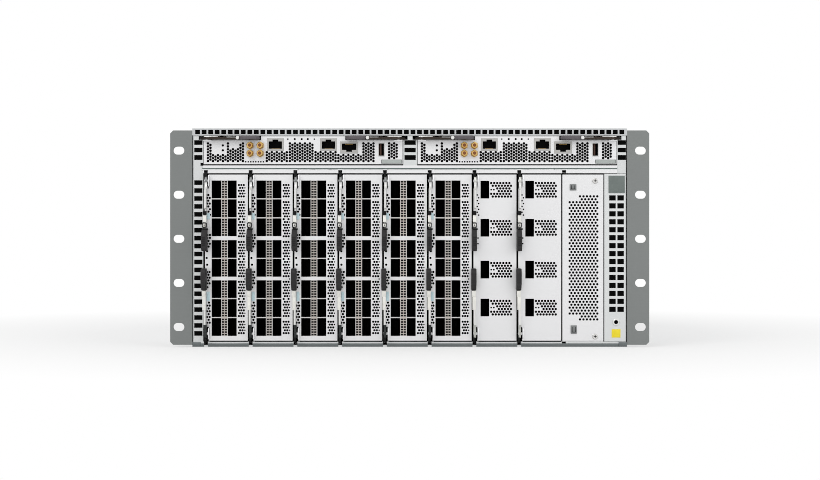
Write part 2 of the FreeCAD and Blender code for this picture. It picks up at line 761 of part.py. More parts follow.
for n in range(8):
    tag = "line_card_%d_" % (n + 1)
    many = n < 6
    steps = n if many else n - 6
    along = "%d * card_pitch" % steps
    number_of = "LineCard%d" % (n + 1)
    NODES[tag + "faceplate"] = gather(number_of + "Faceplate", [many_plate if many else few_plate], along)
    NODES[tag + "board"] = gather(number_of + "Board", [many_board if many else few_board], along)
    along = "%d * card_pitch" % n
    NODES[tag + "upper_ejector"] = gather(number_of + "Upper", [upper_ejector], along)
    NODES[tag + "lower_ejector"] = gather(number_of + "Lower", [lower_ejector], along)


# ---- control cards: faceplate with sockets, board, and two flat ejectors ----

JACKS = (
    # name, then left and right from the card's middle, bottom and top from its lower edge
    ("JackOne", -36.3, -19.6, 14.1, 26.4),
    ("JackTwo", 17.2, 33.9, 14.1, 26.4),
    ("JackThree", 37.4, 55.3, 11.3, 23.2),
    ("Usb", 75.7, 82, 8.4, 21.8),
)
COAX = ((-53, 19.1), (-42.9, 19.1), (-53, 11), (-42.9, 11))


def across(distance):
    return "control_middle + (%s)" % distance


def above(distance):
    return "control_bottom + %s" % distance



control = body_named("ControlSheet")
shape = sketch(control, "ControlOutline", "XZ_Plane", "-plate_back")
loop(shape, [
    ("control_left", "control_bottom"),
    ("control_left + control_width", "control_bottom"),
    ("control_left + control_width", "control_shoulder"),
    ("control_middle + control_raised / 2", "control_shoulder"),
    ("control_middle + control_raised / 2", "control_top"),
    ("control_middle - control_raised / 2", "control_top"),
    ("control_middle - control_raised / 2", "control_shoulder"),
    ("control_left", "control_shoulder"),
])
for jack_name, left, right, low, high in JACKS:
    rectangle(shape, (across(left - 0.1), across(right + 0.1)), (above(low - 0.1), above(high + 0.1)))
for u, v in COAX:
    ring(shape, (across(u), above(v)), "coax_radius + 0.1")
pad(control, shape, "ControlPlate", "plate_thick")
tab_depth = ("pivot_y - 4", "plate_back")
tab_height = ("control_shoulder - metal", "control_shoulder")
mirror_x = "2 * control_middle - control_pivot_x"
control_plate = fuse("ControlFused", [
    control,
    block("ControlTabLeft", ("control_left", "control_pivot_x + 4.5"), tab_depth, tab_height),
    block("ControlTabRight", (mirror_x + " - 4.5", "control_left + control_width"), tab_depth, tab_height),
    rod("ControlPinLeft", "z", ("control_pivot_x", "pivot_y", "control_shoulder - 0.6"),
        "control_pin", "4.6"),
    rod("ControlPinRight", "z", (mirror_x, "pivot_y", "control_shoulder - 0.6"), "control_pin", "4.6"),
    block("ControlFoldBottom", ("control_left + 4", "control_left + control_width - 4"),
          ("plate_back", "plate_back + 8"), ("control_bottom", "control_board")),
])


def socket(name, x, z, front, depth, wall, stand):
    """A hollow socket shell of five plates, on a stand that rises from the board."""
    left, right = x
    low, high = z
    back = "(%s) + %s" % (front, depth)
    return [
        block(name + "Left", (left, left + " + " + wall), (front, back), z),
        block(name + "Right", (right + " - " + wall, right), (front, back), z),
        block(name + "Floor", (left + " + " + wall, right + " - " + wall), (front, back),
              (low, low + " + " + wall)),
        block(name + "Roof", (left + " + " + wall, right + " - " + wall), (front, back),
              (high + " - " + wall, high)),
        block(name + "Back", (left, right), (back, back + " + 1"), z),
        block(name + "Stand", (left + " + 1", right + " - 1"), ("plate_back + 3", back), (stand, low)),
    ]


board_face = "control_board + board_thick"
control_parts = [
    block("ControlBoard", ("control_left + 3", "control_left + control_width - 3"),
          ("plate_back", "board_back"), ("control_board", board_face)),
    block("ControlSink", ("control_middle - 30", "control_middle + 20"), ("front + 110", "front + 180"),
          (board_face, board_face + " + 18")),
    block("ControlDisk", ("control_left + 20", "control_left + 58"), ("front + 160", "front + 240"),
          (board_face, board_face + " + 6")),
    block("ControlPlug", ("control_left + 60", "control_left + 140"),
          ("board_back - 22", "midplane_front - 8.3"), (board_face, "control_board + 11")),
    block("CoaxBlock", (across(-58), across(-37.9)), ("plate_back", "plate_back + 12"),
          (board_face, above(23.4))),
]
for jack_name, left, right, low, high in JACKS:
    wall = "usb_wall" if jack_name == "Usb" else "jack_wall"
    control_parts += socket(jack_name, (across(left), across(right)), (above(low), above(high)),
                            "plate_front - 0.5", "jack_depth", wall, board_face)
for n, (u, v) in enumerate(COAX):
    control_parts.append(rod("Coax%d" % (n + 1), "y",
                             (across(u), "plate_back - coax_reach - plate_thick", above(v)),
                             "coax_radius", "coax_reach + plate_thick"))
control_board = gather("ControlBoardGroup", control_parts)

flat = body_named("ControlLever")
shape = sketch(flat, "FlatLeverOutline", "XY_Plane", "control_shoulder + 0.5")
loop(shape, [
    ("control_pivot_x + 33", "lever_back"),
    ("control_pivot_x + 3.5", "lever_back"),
    ("control_pivot_x + 1", "pivot_y + 3.5"),
    ("control_pivot_x - 5.8", "pivot_y + 4.6"),
    ("control_pivot_x - 7", "pivot_y + 2.4"),
    ("control_pivot_x - 3.3", "pivot_y - 1.5"),
    ("control_pivot_x - 1.5", "pivot_y - 3.5"),
    ("control_pivot_x + 2", "pivot_y - 4"),
    ("control_pivot_x + 6", "front - 9"),
    ("control_pivot_x + 33", "front - 9"),
])
ring(shape, ("control_pivot_x", "pivot_y"), "control_pin + pin_gap")
pad(flat, shape, "FlatLeverPlate", "3.2")
flat_grip = body_named("ControlGrip")
shape = sketch(flat_grip, "FlatGripOutline", "XY_Plane", "control_shoulder + 0.4")
loop(shape, [
    ("control_pivot_x + 33", "front - 0.6"),
    ("control_pivot_x + 33", "front - 9"),
    ("control_pivot_x + 38", "front - 14"),
    ("control_pivot_x + 50.5", "front - 14"),
    ("control_pivot_x + 52.5", "front - 11"),
    ("control_pivot_x + 52.5", "front - 0.6"),
])
pad(flat_grip, shape, "FlatGripBlock", "3.4")
left_ejector = gather("ControlEjector", [flat, flat_grip])
right_ejector = mirror("ControlEjectorRight", left_ejector, "x", "control_middle")
for n in range(2):
    tag = "control_card_%d_" % (n + 1)
    number_of = "ControlCard%d" % (n + 1)
    along = "%d * control_pitch" % n
    NODES[tag + "faceplate"] = gather(number_of + "Faceplate", [control_plate], along)
    NODES[tag + "board"] = gather(number_of + "Board", [control_board], along)
    NODES[tag + "left_ejector"] = gather(number_of + "Left", [left_ejector], along)
    NODES[tag + "right_ejector"] = gather(number_of + "Right", [right_ejector], along)


# ---- filler panel: perforated sheet on two slide latches and two screws -----

filler = body_named("FillerSheet")
shape = sketch(filler, "FillerOutline", "XZ_Plane", "-plate_back")
rectangle(shape, ("filler_left", "filler_right"), ("card_bottom", "card_top"))
pad(filler, shape, "FillerPlate", "plate_thick")
filler_fused = fuse("FillerFused", [
    filler,
    block("FillerFoldLeft", ("filler_left", "filler_left + metal"), ("plate_back", "plate_back + 12"),
          ("card_bottom + 2", "card_top - 2")),
    block("FillerFoldRight", ("filler_right - metal", "filler_right"), ("plate_back", "plate_back + 12"),
          ("card_bottom + 2", "card_top - 2")),
    block("FillerFoot", ("filler_left", "filler_right"), ("plate_back", "plate_back + 12"),
          ("card_bottom", "card_bottom + metal")),
])
NODES["filler_panel"] = gather("FillerPanel", [
    filler_fused,
    rod("FillerScrewTop", "y", ("filler_right - 8.3", "plate_front - 1.6", "card_top - 6.3"), "3", "1.6"),
    rod("FillerScrewLow", "y", ("filler_right - 8.3", "plate_front - 1.6", "card_bottom + 4.2"), "3", "1.6"),
    block("FillerLatchTop", ("filler_left + 7.4", "filler_left + 14"), ("plate_front - 1.2", "plate_front"),
          ("card_top - 16.5", "card_top - 10.2")),
    block("FillerLatchLow", ("filler_left + 8.3", "filler_left + 14.4"), ("plate_front - 1.2", "plate_front"),
          ("card_bottom + 6.7", "card_bottom + 15.1")),
])


# ---- fan trays: housing with two round openings, and a rotor in each --------

fan_middle = "(fan_bottom + fan_top) / 2"
rotor_near = "(fan_inner + fan_outer) / 2 - fan_pitch / 2"
rotor_far = "(fan_inner + fan_outer) / 2 + fan_pitch / 2"
rear_plate = body_named("FanRear")
shape = sketch(rear_plate, "RearOutline", "XZ_Plane", "-back")
rectangle(shape, ("fan_inner", "fan_outer"), ("fan_bottom", "fan_top"))
for centre in (rotor_near, rotor_far):
    ring(shape, (centre, fan_middle), "fan_hole")
pad(rear_plate, shape, "RearPlate", "fan_sheet")
span_y = ("fan_front", "back - fan_sheet")
side_z = ("fan_bottom + fan_sheet", "fan_top - fan_sheet")
frame_parts = [
    rear_plate,
    block("FanFloor", ("fan_inner", "fan_outer"), span_y, ("fan_bottom", "fan_bottom + fan_sheet")),
    block("FanRoof", ("fan_inner", "fan_outer"), span_y, ("fan_top - fan_sheet", "fan_top")),
    block("FanSideInner", ("fan_inner", "fan_inner + fan_sheet"), span_y, side_z),
    block("FanSideOuter", ("fan_outer - fan_sheet", "fan_outer"), span_y, side_z),
]
strut_y = ("back - 2 * fan_sheet", "back - fan_sheet")
for tag, centre in (("Near", rotor_near), ("Far", rotor_far)):
    frame_parts += [
        block("FanBar%s" % tag, (centre + " - strut / 2", centre + " + strut / 2"), strut_y,
              (fan_middle + " - fan_hole - 4", fan_middle + " + fan_hole + 4")),
        block("FanLeft%s" % tag, (centre + " - fan_hole - 4", centre + " - strut / 2"), strut_y,
              (fan_middle + " - strut / 2", fan_middle + " + strut / 2")),
        block("FanRight%s" % tag, (centre + " + strut / 2", centre + " + fan_hole + 4"), strut_y,
              (fan_middle + " - strut / 2", fan_middle + " + strut / 2")),
        rod("FanMotor%s" % tag, "y", (centre, "back - 2 * fan_sheet - motor_length", fan_middle), "fan_hub",
            "motor_length"),
        rod("FanShaft%s" % tag, "y", (centre, "fan_front + 26", fan_middle), "fan_shaft",
            "back - 2 * fan_sheet - motor_length - fan_front - 26"),
    ]
fan_handle = fuse("FanHandle", [
    block("HandlePostLow", ("(fan_inner + fan_outer) / 2 - 4", "(fan_inner + fan_outer) / 2 + 4"), ("back", "back + 18"),
          (fan_middle + " - 50", fan_middle + " - 42")),
    block("HandlePostHigh", ("(fan_inner + fan_outer) / 2 - 4", "(fan_inner + fan_outer) / 2 + 4"), ("back", "back + 18"),
          (fan_middle + " + 42", fan_middle + " + 50")),
    block("HandleBar", ("(fan_inner + fan_outer) / 2 - 4", "(fan_inner + fan_outer) / 2 + 4"), ("back + 10", "back + 18"),
          (fan_middle + " - 50", fan_middle + " + 50")),
])
fan_tray = gather("FanTray", frame_parts + [fan_handle])


def rotor(name, centre):
    """A bored hub with seven pitched blades."""
    hub = rod(name + "Hub", "y", (centre, "fan_front + 27", fan_middle), "fan_hub", "26")
    blade = doc.addObject("Part::Box", name + "Blade")
    blade.setExpression("Length", bound("fan_blade - fan_hub + 2"))
    blade.setExpression("Width", bound("blade_chord"))
    blade.setExpression("Height", bound("blade_thick"))
    blade.setExpression("Placement.Base.x", bound("fan_hub - 2"))
    blade.setExpression("Placement.Base.y", bound("-blade_chord / 2"))
    blade.setExpression("Placement.Base.z", bound("-blade_thick / 2"))
    parts = [hub]
    pitch = FreeCAD.Rotation(FreeCAD.Vector(1, 0, 0), 55)
    for n in range(7):
        leaf = doc.addObject("Part::Compound", "%sLeaf%d" % (name, n + 1))
        leaf.Links = [blade]
        turn = FreeCAD.Rotation(FreeCAD.Vector(0, 1, 0), n * 360.0 / 7)
        leaf.Placement.Rotation = turn.multiply(pitch)
        for letter, place in zip("xyz", (centre, "fan_front + 40", fan_middle)):
            leaf.setExpression("Placement.Base." + letter, bound(place))
        parts.append(leaf)
    bore = rod(name + "Bore", "y", (centre, "fan_front + 20", fan_middle), "fan_shaft + shaft_gap", "40")
    return cut(name, fuse(name + "Solid", parts), bore)


near_rotor = rotor("NearRotor", rotor_near)
far_rotor = rotor("FarRotor", rotor_far)
right_set = (("fan_tray_2", fan_tray), ("fan_tray_2_left_rotor", near_rotor),
             ("fan_tray_2_right_rotor", far_rotor))
for node, piece in right_set:
    NODES[node] = piece
other_side = "-(fan_inner + fan_outer)"
left_set = (("fan_tray_1", fan_tray), ("fan_tray_1_left_rotor", near_rotor),
            ("fan_tray_1_right_rotor", far_rotor))
for node, piece in left_set:
    NODES[node] = gather(node, [piece], other_side)


# ---- power supplies: case with an inlet recess, a handle and a release tab --

def supply(number_of):
    left = "%s * psu_pitch + (psu_pitch - psu_width) / 2" % number_of
    right = left + " + psu_width"
    name = "Supply%d" % (int(number_of) + 3)
    z = ("psu_bottom", "psu_bottom + psu_height")
    case = block(name + "Case", (left, right), ("psu_front", "back"), z)
    recess = block(name + "Inlet", (left + " + 8", left + " + 36"), ("back - 14", "back + 1"),
                   ("psu_bottom + 10", "psu_bottom + 30"))
    handle = fuse(name + "Handle", [
        block(name + "HandleLow", (right + " - 12", right + " - 8"), ("back", "back + 18"),
              ("psu_bottom + 5", "psu_bottom + 9")),
        block(name + "HandleHigh", (right + " - 12", right + " - 8"), ("back", "back + 18"),
              ("psu_bottom + 33", "psu_bottom + 37")),
        block(name + "HandleBar", (right + " - 12", right + " - 8"), ("back + 14", "back + 18"),
              ("psu_bottom + 5", "psu_bottom + 37")),
    ])
    tab = block(name + "Release", (right + " - 24", right + " - 16"), ("back", "back + 8"),
                ("psu_bottom + 14", "psu_bottom + 28"))
    return gather(name, [cut(name + "Hollow", case, recess), handle, tab])


for n in range(4):
    NODES["power_supply_%d" % (n + 1)] = supply(str(n - 2))


# ---- checks and files -------------------------------------------------------

doc.recompute()
wrong = [o.Name for o in doc.Objects if "Invalid" in o.State or "Error" in o.State]
if wrong:
    raise RuntimeError("features that did not build: %s" % ", ".join(wrong))
os.makedirs("parts", exist_ok=True)
for node, piece in NODES.items():
    if piece.Shape.isNull() or not piece.Shape.isValid():
        raise RuntimeError("the shape of %s is not valid" % node)
    piece.Shape.exportStep("parts/%s.step" % node)
print(len(NODES), "pieces written")
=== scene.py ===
"""The looks of a modular chassis switch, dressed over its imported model.

Lengths are written in millimetres and turned to metres as each mesh is finished.
+X is the viewer's right, -Y the front and +Z up, with the origin under the body.
"""
import math

import bmesh
import bpy
from mathutils import Matrix, Vector


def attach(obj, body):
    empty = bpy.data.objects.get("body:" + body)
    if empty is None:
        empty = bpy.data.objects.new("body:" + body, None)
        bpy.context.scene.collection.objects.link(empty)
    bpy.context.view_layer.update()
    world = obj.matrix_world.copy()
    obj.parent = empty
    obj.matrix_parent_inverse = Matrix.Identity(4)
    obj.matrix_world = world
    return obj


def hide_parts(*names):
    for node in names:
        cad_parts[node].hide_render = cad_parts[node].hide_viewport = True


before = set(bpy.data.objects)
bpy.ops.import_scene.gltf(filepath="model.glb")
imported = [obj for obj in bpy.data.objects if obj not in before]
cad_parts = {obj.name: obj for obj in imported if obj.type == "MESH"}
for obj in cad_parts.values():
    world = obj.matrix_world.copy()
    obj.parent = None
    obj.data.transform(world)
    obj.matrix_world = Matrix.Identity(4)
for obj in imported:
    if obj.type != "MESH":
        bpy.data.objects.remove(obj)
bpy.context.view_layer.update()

# ---- Studio ------------------------------------------------------------------
# A plain white sweep: the floor and the world show white to the camera and to
# polished metal, while soft lamps above and in front give the object its level.


def linear(code):
    """An sRGB hex colour as the linear values that Blender's sockets take."""
    parts = [int(code[i:i + 2], 16) / 255 for i in (0, 2, 4)]
    return [p / 12.92 if p <= 0.04045 else ((p + 0.055) / 1.055) ** 2.4 for p in parts] + [1.0]


def material(name):
    made = bpy.data.materials.new(name)
    made.use_nodes = True
    made.node_tree.nodes.clear()
    return made


def node(owner, kind, settings=(), inputs=()):
    """Adds a shader node: its settings, then its inputs' values or the nodes and sockets that feed them."""
    tree = owner.node_tree
    made = tree.nodes.new("ShaderNode" + kind)
    for key, value in dict(settings).items():
        setattr(made, key, value)
    for key, value in dict(inputs).items():
        if isinstance(value, bpy.types.Node):
            value = value.outputs[0]
        if isinstance(value, bpy.types.NodeSocket):
            tree.links.new(value, made.inputs[key])
        else:
            made.inputs[key].default_value = value
    return made


def seen_by(owner, *rays):
    """One for the kinds of ray named, and nought for all others."""
    path = node(owner, "LightPath")
    share = path.outputs[rays[0]]
    for ray in rays[1:]:
        share = node(owner, "Math", {"operation": "MAXIMUM"}, {0: share, 1: path.outputs[ray]})
    return share


world = bpy.data.worlds.new("white_studio")
world.use_nodes = True
world.node_tree.nodes.clear()
dim = node(world, "Background", (), {"Color": (1, 1, 1, 1), "Strength": 0.55})
bright = node(world, "Background", (), {"Color": (1, 1, 1, 1), "Strength": 1.0})
direct = seen_by(world, "Is Camera Ray", "Is Glossy Ray", "Is Transmission Ray")
sky = node(world, "MixShader", (), {0: direct, 1: dim, 2: bright})
node(world, "OutputWorld", (), {"Surface": sky})
bpy.context.scene.world = world

# The sweep turns plain white to the eye away from the object and keeps a soft shadow beside it.
floor_paint = material("matt_white_sweep")
floor_face = node(floor_paint, "BsdfDiffuse", (), {"Color": linear("F4F4F4")})
floor_white = node(floor_paint, "Emission", (), {"Color": (1, 1, 1, 1), "Strength": 1.0})
floor_place = node(floor_paint, "TexCoord")
floor_reach = node(floor_paint, "VectorMath", {"operation": "LENGTH"}, {0: floor_place.outputs["Object"]})
floor_fade = node(floor_paint, "MapRange", (), {"Value": floor_reach.outputs["Value"], "From Min": 0.35,
                                                "From Max": 0.75, "To Min": 0.55, "To Max": 1.0})
floor_seen = seen_by(floor_paint, "Is Camera Ray", "Is Glossy Ray")
floor_share = node(floor_paint, "Math", {"operation": "MULTIPLY"}, {0: floor_seen, 1: floor_fade})
floor_mix = node(floor_paint, "MixShader", (), {0: floor_share, 1: floor_face, 2: floor_white})
node(floor_paint, "OutputMaterial", (), {"Surface": floor_mix})
bm = bmesh.new()
bmesh.ops.create_grid(bm, x_segments=1, y_segments=1, size=6)
sweep = bpy.data.meshes.new("floor")
bm.to_mesh(sweep)
bm.free()
floor = bpy.data.objects.new("floor", sweep)
floor.location = (0, 0, -0.0005)
sweep.materials.append(floor_paint)
bpy.context.collection.objects.link(floor)


def lamp(name, place, aim, size, watts):
    light = bpy.data.lights.new(name, "AREA")
    light.shape = "RECTANGLE"
    light.size, light.size_y = size
    light.energy = watts
    made = bpy.data.objects.new(name, light)
    made.location = place
    made.rotation_euler = (Vector(aim) - Vector(place)).to_track_quat("-Z", "Y").to_euler()
    bpy.context.collection.objects.link(made)


BODY_CENTRE = (0, 0, 0.1)
lamp("key", (-1.0, -2.0, 1.9), BODY_CENTRE, (1.6, 1.2), 24)
lamp("fill", (1.6, -2.0, 0.9), BODY_CENTRE, (1.4, 1.2), 10)
lamp("back", (0.3, 2.2, 1.2), BODY_CENTRE, (1.8, 1.0), 12)

camera_data = bpy.data.cameras.new("camera")
camera_data.sensor_width = 36
camera_data.lens = 78.45
camera = bpy.data.objects.new("camera", camera_data)
camera.location = (0.0003, -2.09, 0.1076)
camera.rotation_euler = (math.radians(90), 0, 0)
bpy.context.collection.objects.link(camera)
bpy.context.scene.camera = camera
bpy.context.scene.view_settings.view_transform = "Standard"
bpy.context.scene.cycles.filter_width = 0.9

# ---- Chassis sheet -----------------------------------------------------------
# The tray, cover, ears, frame, shelf and rear dividers are folded from steel
# sheet with a bright plated finish: nearly white, with faint rolling lines.


def noise(owner, place, scale, detail=2.0):
    """A noise's value at a place."""
    return node(owner, "TexNoise", (), {"Vector": place, "Scale": scale, "Detail": detail})


def mixed_tone(owner, share, first, second):
    """A colour between two, shared out by another node's value."""
    return node(owner, "Mix", {"data_type": "RGBA"}, {0: share, 6: first, 7: second}).outputs[2]


def shaded(colour, share):
    """A hex colour made darker or lighter by a share."""
    return [min(1, c * share) for c in linear(colour)[:3]] + [1.0]


def surfaced(made, inputs):
    """Gives a material its one principled surface."""
    face = node(made, "BsdfPrincipled", (), inputs)
    node(made, "OutputMaterial", (), {"Surface": face})
    return made


def plated_steel(name, colour, roughness):
    """Bright plated sheet steel: fine rolling lines break up an even sheen."""
    made = material(name)
    place = node(made, "TexCoord").outputs["Object"]
    stretch = node(made, "Mapping", (), {"Vector": place, "Scale": (40, 900, 900)})
    lines = noise(made, stretch, 1.6, 4.0)
    cloud = noise(made, place, 9.0)
    rough = node(made, "MapRange", (), {"Value": lines, "To Min": roughness - 0.06, "To Max": roughness + 0.08})
    tone = mixed_tone(made, cloud, shaded(colour, 0.93), linear(colour))
    grain = node(made, "Bump", (), {"Height": lines, "Strength": 0.03, "Distance": 0.0002})
    return surfaced(made, {"Base Color": tone, "Metallic": 0.85, "Roughness": rough, "Normal": grain})


bright_sheet = plated_steel("bright_zinc_plated_steel", "E5E5E6", 0.42)
body_sheet = plated_steel("zinc_plated_body_steel", "C9CCCE", 0.45)
ear_sheet = plated_steel("grey_passivated_steel", "828584", 0.5)
cover_sheet = plated_steel("zinc_plated_cover_steel", "C2C4C5", 0.55)


def dress(node_name, finish):
    """Gives a carried-over solid its finish."""
    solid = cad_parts[node_name]
    solid.data.materials.clear()
    solid.data.materials.append(finish)


frame_sheet = plated_steel("dull_zinc_plated_steel", "D2D4D4", 0.5)
intake_sheet = plated_steel("zinc_plated_intake_steel", "D6D8D8", 0.46)
for name, finish in (("chassis_tray", body_sheet), ("rear_bulkhead", body_sheet), ("top_cover", cover_sheet),
                     ("front_frame", frame_sheet), ("card_shelf", bright_sheet), ("intake_panel", intake_sheet),
                     ("rack_ear_left", ear_sheet), ("rack_ear_right", ear_sheet)):
    dress(name, finish)

# ---- Line-card faceplates ----------------------------------------------------
# Each vertical card has a plated sheet front with its edges folded back. The six
# dense cards have three windows for ganged port cages, and rows of round airholes
# punched beside them; the corners are notched for the ejector levers.

PLATE_FRONT = -289.4
PLATE_BACK = -287.8
PLATE_THICK = PLATE_BACK - PLATE_FRONT
SHADE_BACKING_DEPTH = (PLATE_FRONT + 0.4, PLATE_BACK + 0.4)
CARD_LEFT = -207.4
CARD_PITCH = 45.1
CARD_WIDTH = 44.3
CARD_BOTTOM = 6.2
CARD_TOP = 173.5
CARD_EDGE = 1.1
PORT_NEAR = (7.75, 17.5)
PORT_FAR = (24.0, 33.1)
PORT_HEIGHT = 17.9
PORT_PITCH = 19.15
PORT_GROUPS = ((10.9, 3), (70.5, 2), (111.4, 3))
NOTCH_WIDE = 4.9
NOTCH_HIGH = 14.0
CARD_MIDDLE = 90.3
PIVOT_Y = -293.0
PIVOT_Z = 167.1
EAR_FRONT = -297.0


def outline(bm, corners, y):
    """A closed loop of edges through corners given in X and Z."""
    ring = [bm.verts.new((x, y, z)) for x, z in corners]
    for i, corner in enumerate(ring):
        bm.edges.new((corner, ring[(i + 1) % len(ring)]))


def rectangle(x, z):
    return [(x[0], z[0]), (x[1], z[0]), (x[1], z[1]), (x[0], z[1])]


def quarter_turn(axis):
    return Matrix.Rotation(math.radians(90), 4, axis)


def ring(bm, place, radius, sides):
    """A round loop of edges in the plane of the front."""
    bmesh.ops.create_circle(bm, cap_ends=False, radius=radius, segments=sides,
                            matrix=Matrix.Translation(place) @ quarter_turn("X"))


def drawn_out(bm, faces, step):
    """Gives flat faces a thickness by drawing them out along a step."""
    made = bmesh.ops.extrude_face_region(bm, geom=faces)
    moved = [part for part in made["geom"] if isinstance(part, bmesh.types.BMVert)]
    bmesh.ops.translate(bm, verts=moved, vec=step)
    bmesh.ops.recalc_face_normals(bm, faces=bm.faces[:])


def punched_sheet(edge, windows, holes, front=PLATE_FRONT, thick=PLATE_THICK):
    """A flat sheet facing the front, with square windows and round holes through it."""
    bm = bmesh.new()
    outline(bm, edge, front)
    for window in windows:
        outline(bm, window, front)
    for x, z, radius in holes:
        ring(bm, (x, front, z), radius, 8)
    bmesh.ops.triangle_fill(bm, use_beauty=True, use_dissolve=False, edges=bm.edges[:], normal=(0, -1, 0))
    drawn_out(bm, bm.faces[:], (0, thick, 0))
    return bm


def bar(bm, x, y, z, bevel=0.0):
    """A block between two ends on each axis, its edges eased if a bevel is given."""
    size = [b - a for a, b in (x, y, z)]
    middle = [(a + b) / 2 for a, b in (x, y, z)]
    made = bmesh.ops.create_cube(bm, size=1, matrix=Matrix.Translation(middle) @ Matrix.Diagonal((*size, 1)))
    if bevel:
        edges = list({edge for corner in made["verts"] for edge in corner.link_edges})
        bmesh.ops.bevel(bm, geom=edges, offset=bevel, segments=2, profile=0.5, affect="EDGES", material=-1)


def bars(bm, y, rows, bevel=0.0):
    """Several blocks of one depth, each given by its ends in X and in Z."""
    for x, z in rows:
        bar(bm, x, y, z, bevel)


def box_walls(bm, x, y, z, wall, bevel=0.0):
    """The four walls of a box that is open to the front and the back."""
    inside = (x[0] + wall, x[1] - wall)
    bars(bm, y, (((x[0], x[0] + wall), z), ((x[1] - wall, x[1]), z), (inside, (z[0], z[0] + wall)),
                 (inside, (z[1] - wall, z[1]))), bevel)


def stud(bm, place, radii, depth, turn=quarter_turn("X"), sides=24):
    """A round pin or head, on an axis from front to back unless it is turned."""
    bmesh.ops.create_cone(bm, cap_ends=True, segments=sides, radius1=radii[0], radius2=radii[1], depth=depth,
                          matrix=Matrix.Translation(place) @ turn)


def joined(*parts):
    """Several bmeshes as one."""
    whole = bmesh.new()
    for part in parts:
        holder = bpy.data.meshes.new("part")
        part.to_mesh(holder)
        whole.from_mesh(holder)
        bpy.data.meshes.remove(holder)
    return whole


SHARP_FROM = math.radians(35)


def finished(name, bm, finish, body, shift=(0, 0, 0), solids=()):
    """Turns a mesh in millimetres into a piece that rides on a body."""
    copy = bm.copy()
    bmesh.ops.translate(copy, verts=copy.verts, vec=shift)
    bmesh.ops.scale(copy, verts=copy.verts, vec=(0.001, 0.001, 0.001))
    mesh = bpy.data.meshes.new(name)
    copy.to_mesh(mesh)
    copy.free()
    mesh.shade_smooth()
    mesh.set_sharp_from_angle(angle=SHARP_FROM)
    mesh.materials.append(finish)
    made = bpy.data.objects.new(name, mesh)
    bpy.context.collection.objects.link(made)
    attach(made, body)
    if solids:
        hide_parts(*solids)


def fitted(owner, rows, shift=(0, 0, 0), body=None):
    """Finishes the pieces of one body. A row holds the end of a name, a mesh, a finish, a slot and any solids; the slot
    is not used.
    """
    for ending, mesh, finish, slot, *solids in rows:
        finished("%s_%s" % (owner, ending), mesh, finish, body or owner, shift, solids)


def block(x, y, z, bevel=0.0):
    bm = bmesh.new()
    bar(bm, x, y, z, bevel)
    return bm


def card_edge():
    """The faceplate's outline, with a notch at each left corner."""
    return [(NOTCH_WIDE, CARD_BOTTOM), (CARD_WIDTH, CARD_BOTTOM), (CARD_WIDTH, CARD_TOP), (NOTCH_WIDE, CARD_TOP),
            (NOTCH_WIDE, CARD_TOP - NOTCH_HIGH), (CARD_EDGE, CARD_TOP - NOTCH_HIGH),
            (CARD_EDGE, CARD_BOTTOM + NOTCH_HIGH), (NOTCH_WIDE, CARD_BOTTOM + NOTCH_HIGH)]


def card_folds(bm):
    """The folded edges, and an ear and a pin for each ejector lever."""
    bar(bm, (CARD_EDGE, 2.0), (PLATE_BACK, PLATE_BACK + 9), (CARD_BOTTOM + 15.5, CARD_TOP - 15.5))
    bar(bm, (CARD_WIDTH - 1.2, CARD_WIDTH), (PLATE_BACK, PLATE_BACK + 9), (CARD_BOTTOM + 1.5, CARD_TOP - 1.5))
    for z in (2 * CARD_MIDDLE - PIVOT_Z, PIVOT_Z):
        bar(bm, (NOTCH_WIDE, NOTCH_WIDE + 1.2), (EAR_FRONT, PLATE_BACK), (z - 5.5, z + 5.5), 0.3)
        stud(bm, (3.05, PIVOT_Y, z), (1.5, 1.5), 4.5, quarter_turn("Y"), 20)


LINE_CARDS = [("line_card_%d" % (n + 1), (CARD_LEFT + n * CARD_PITCH, 0, 0)) for n in range(8)]
DENSE_CARDS = 6


def group_span(low, count):
    """The foot and the top of a group of ports."""
    return low, low + PORT_PITCH * (count - 1) + PORT_HEIGHT


dense_windows = [rectangle((PORT_NEAR[0], PORT_FAR[1]), group_span(low, count)) for low, count in PORT_GROUPS]
port_rows = [low + n * PORT_PITCH for low, count in PORT_GROUPS for n in range(count)]
lamp_rows = [low + 18.0 for low in port_rows[:-1]] + [port_rows[-1] + 16.5]
LAMP_X = 37.8
dense_holes = []
for row in range(53):
    z = 163.0 - 2.87 * row
    for x in ((35.3, 37.75, 40.2), (36.5, 38.95))[row % 2]:
        if all(math.hypot(x - LAMP_X, z - lamp_z) > 1.75 for lamp_z in lamp_rows):
            dense_holes.append((x, z, 1.19))
    if row % 2 and all(abs(z - lamp_z) > 1.0 for lamp_z in lamp_rows):
        dense_holes.append((41.3, z, 0.75))
for top, rows, across in ((152.9, 5, ((4.5,), (3.3, 5.9))), (106.7, 3, ((4.7,), (3.4, 6.0))),
                          (75.4, 5, ((3.1, 5.7), (4.6,))), (41.5, 7, ((3.2, 5.8), (4.8,)))):
    for row in range(rows):
        dense_holes += [(x, top - 2.87 * row, 1.24) for x in across[row % 2]]
dense_holes += [(x, z, 1.2) for x, z in (
    (6.1, 138.6), (4.7, 136.2), (6.1, 133.0), (3.6, 112.6), (6.1, 112.6), (3.6, 109.7), (6.1, 109.7), (3.2, 96.4),
    (2.8, 89.5), (3.3, 82.7), (3.6, 60.0), (5.1, 44.5))]
dense_plate = punched_sheet(card_edge(), dense_windows, dense_holes)
card_folds(dense_plate)

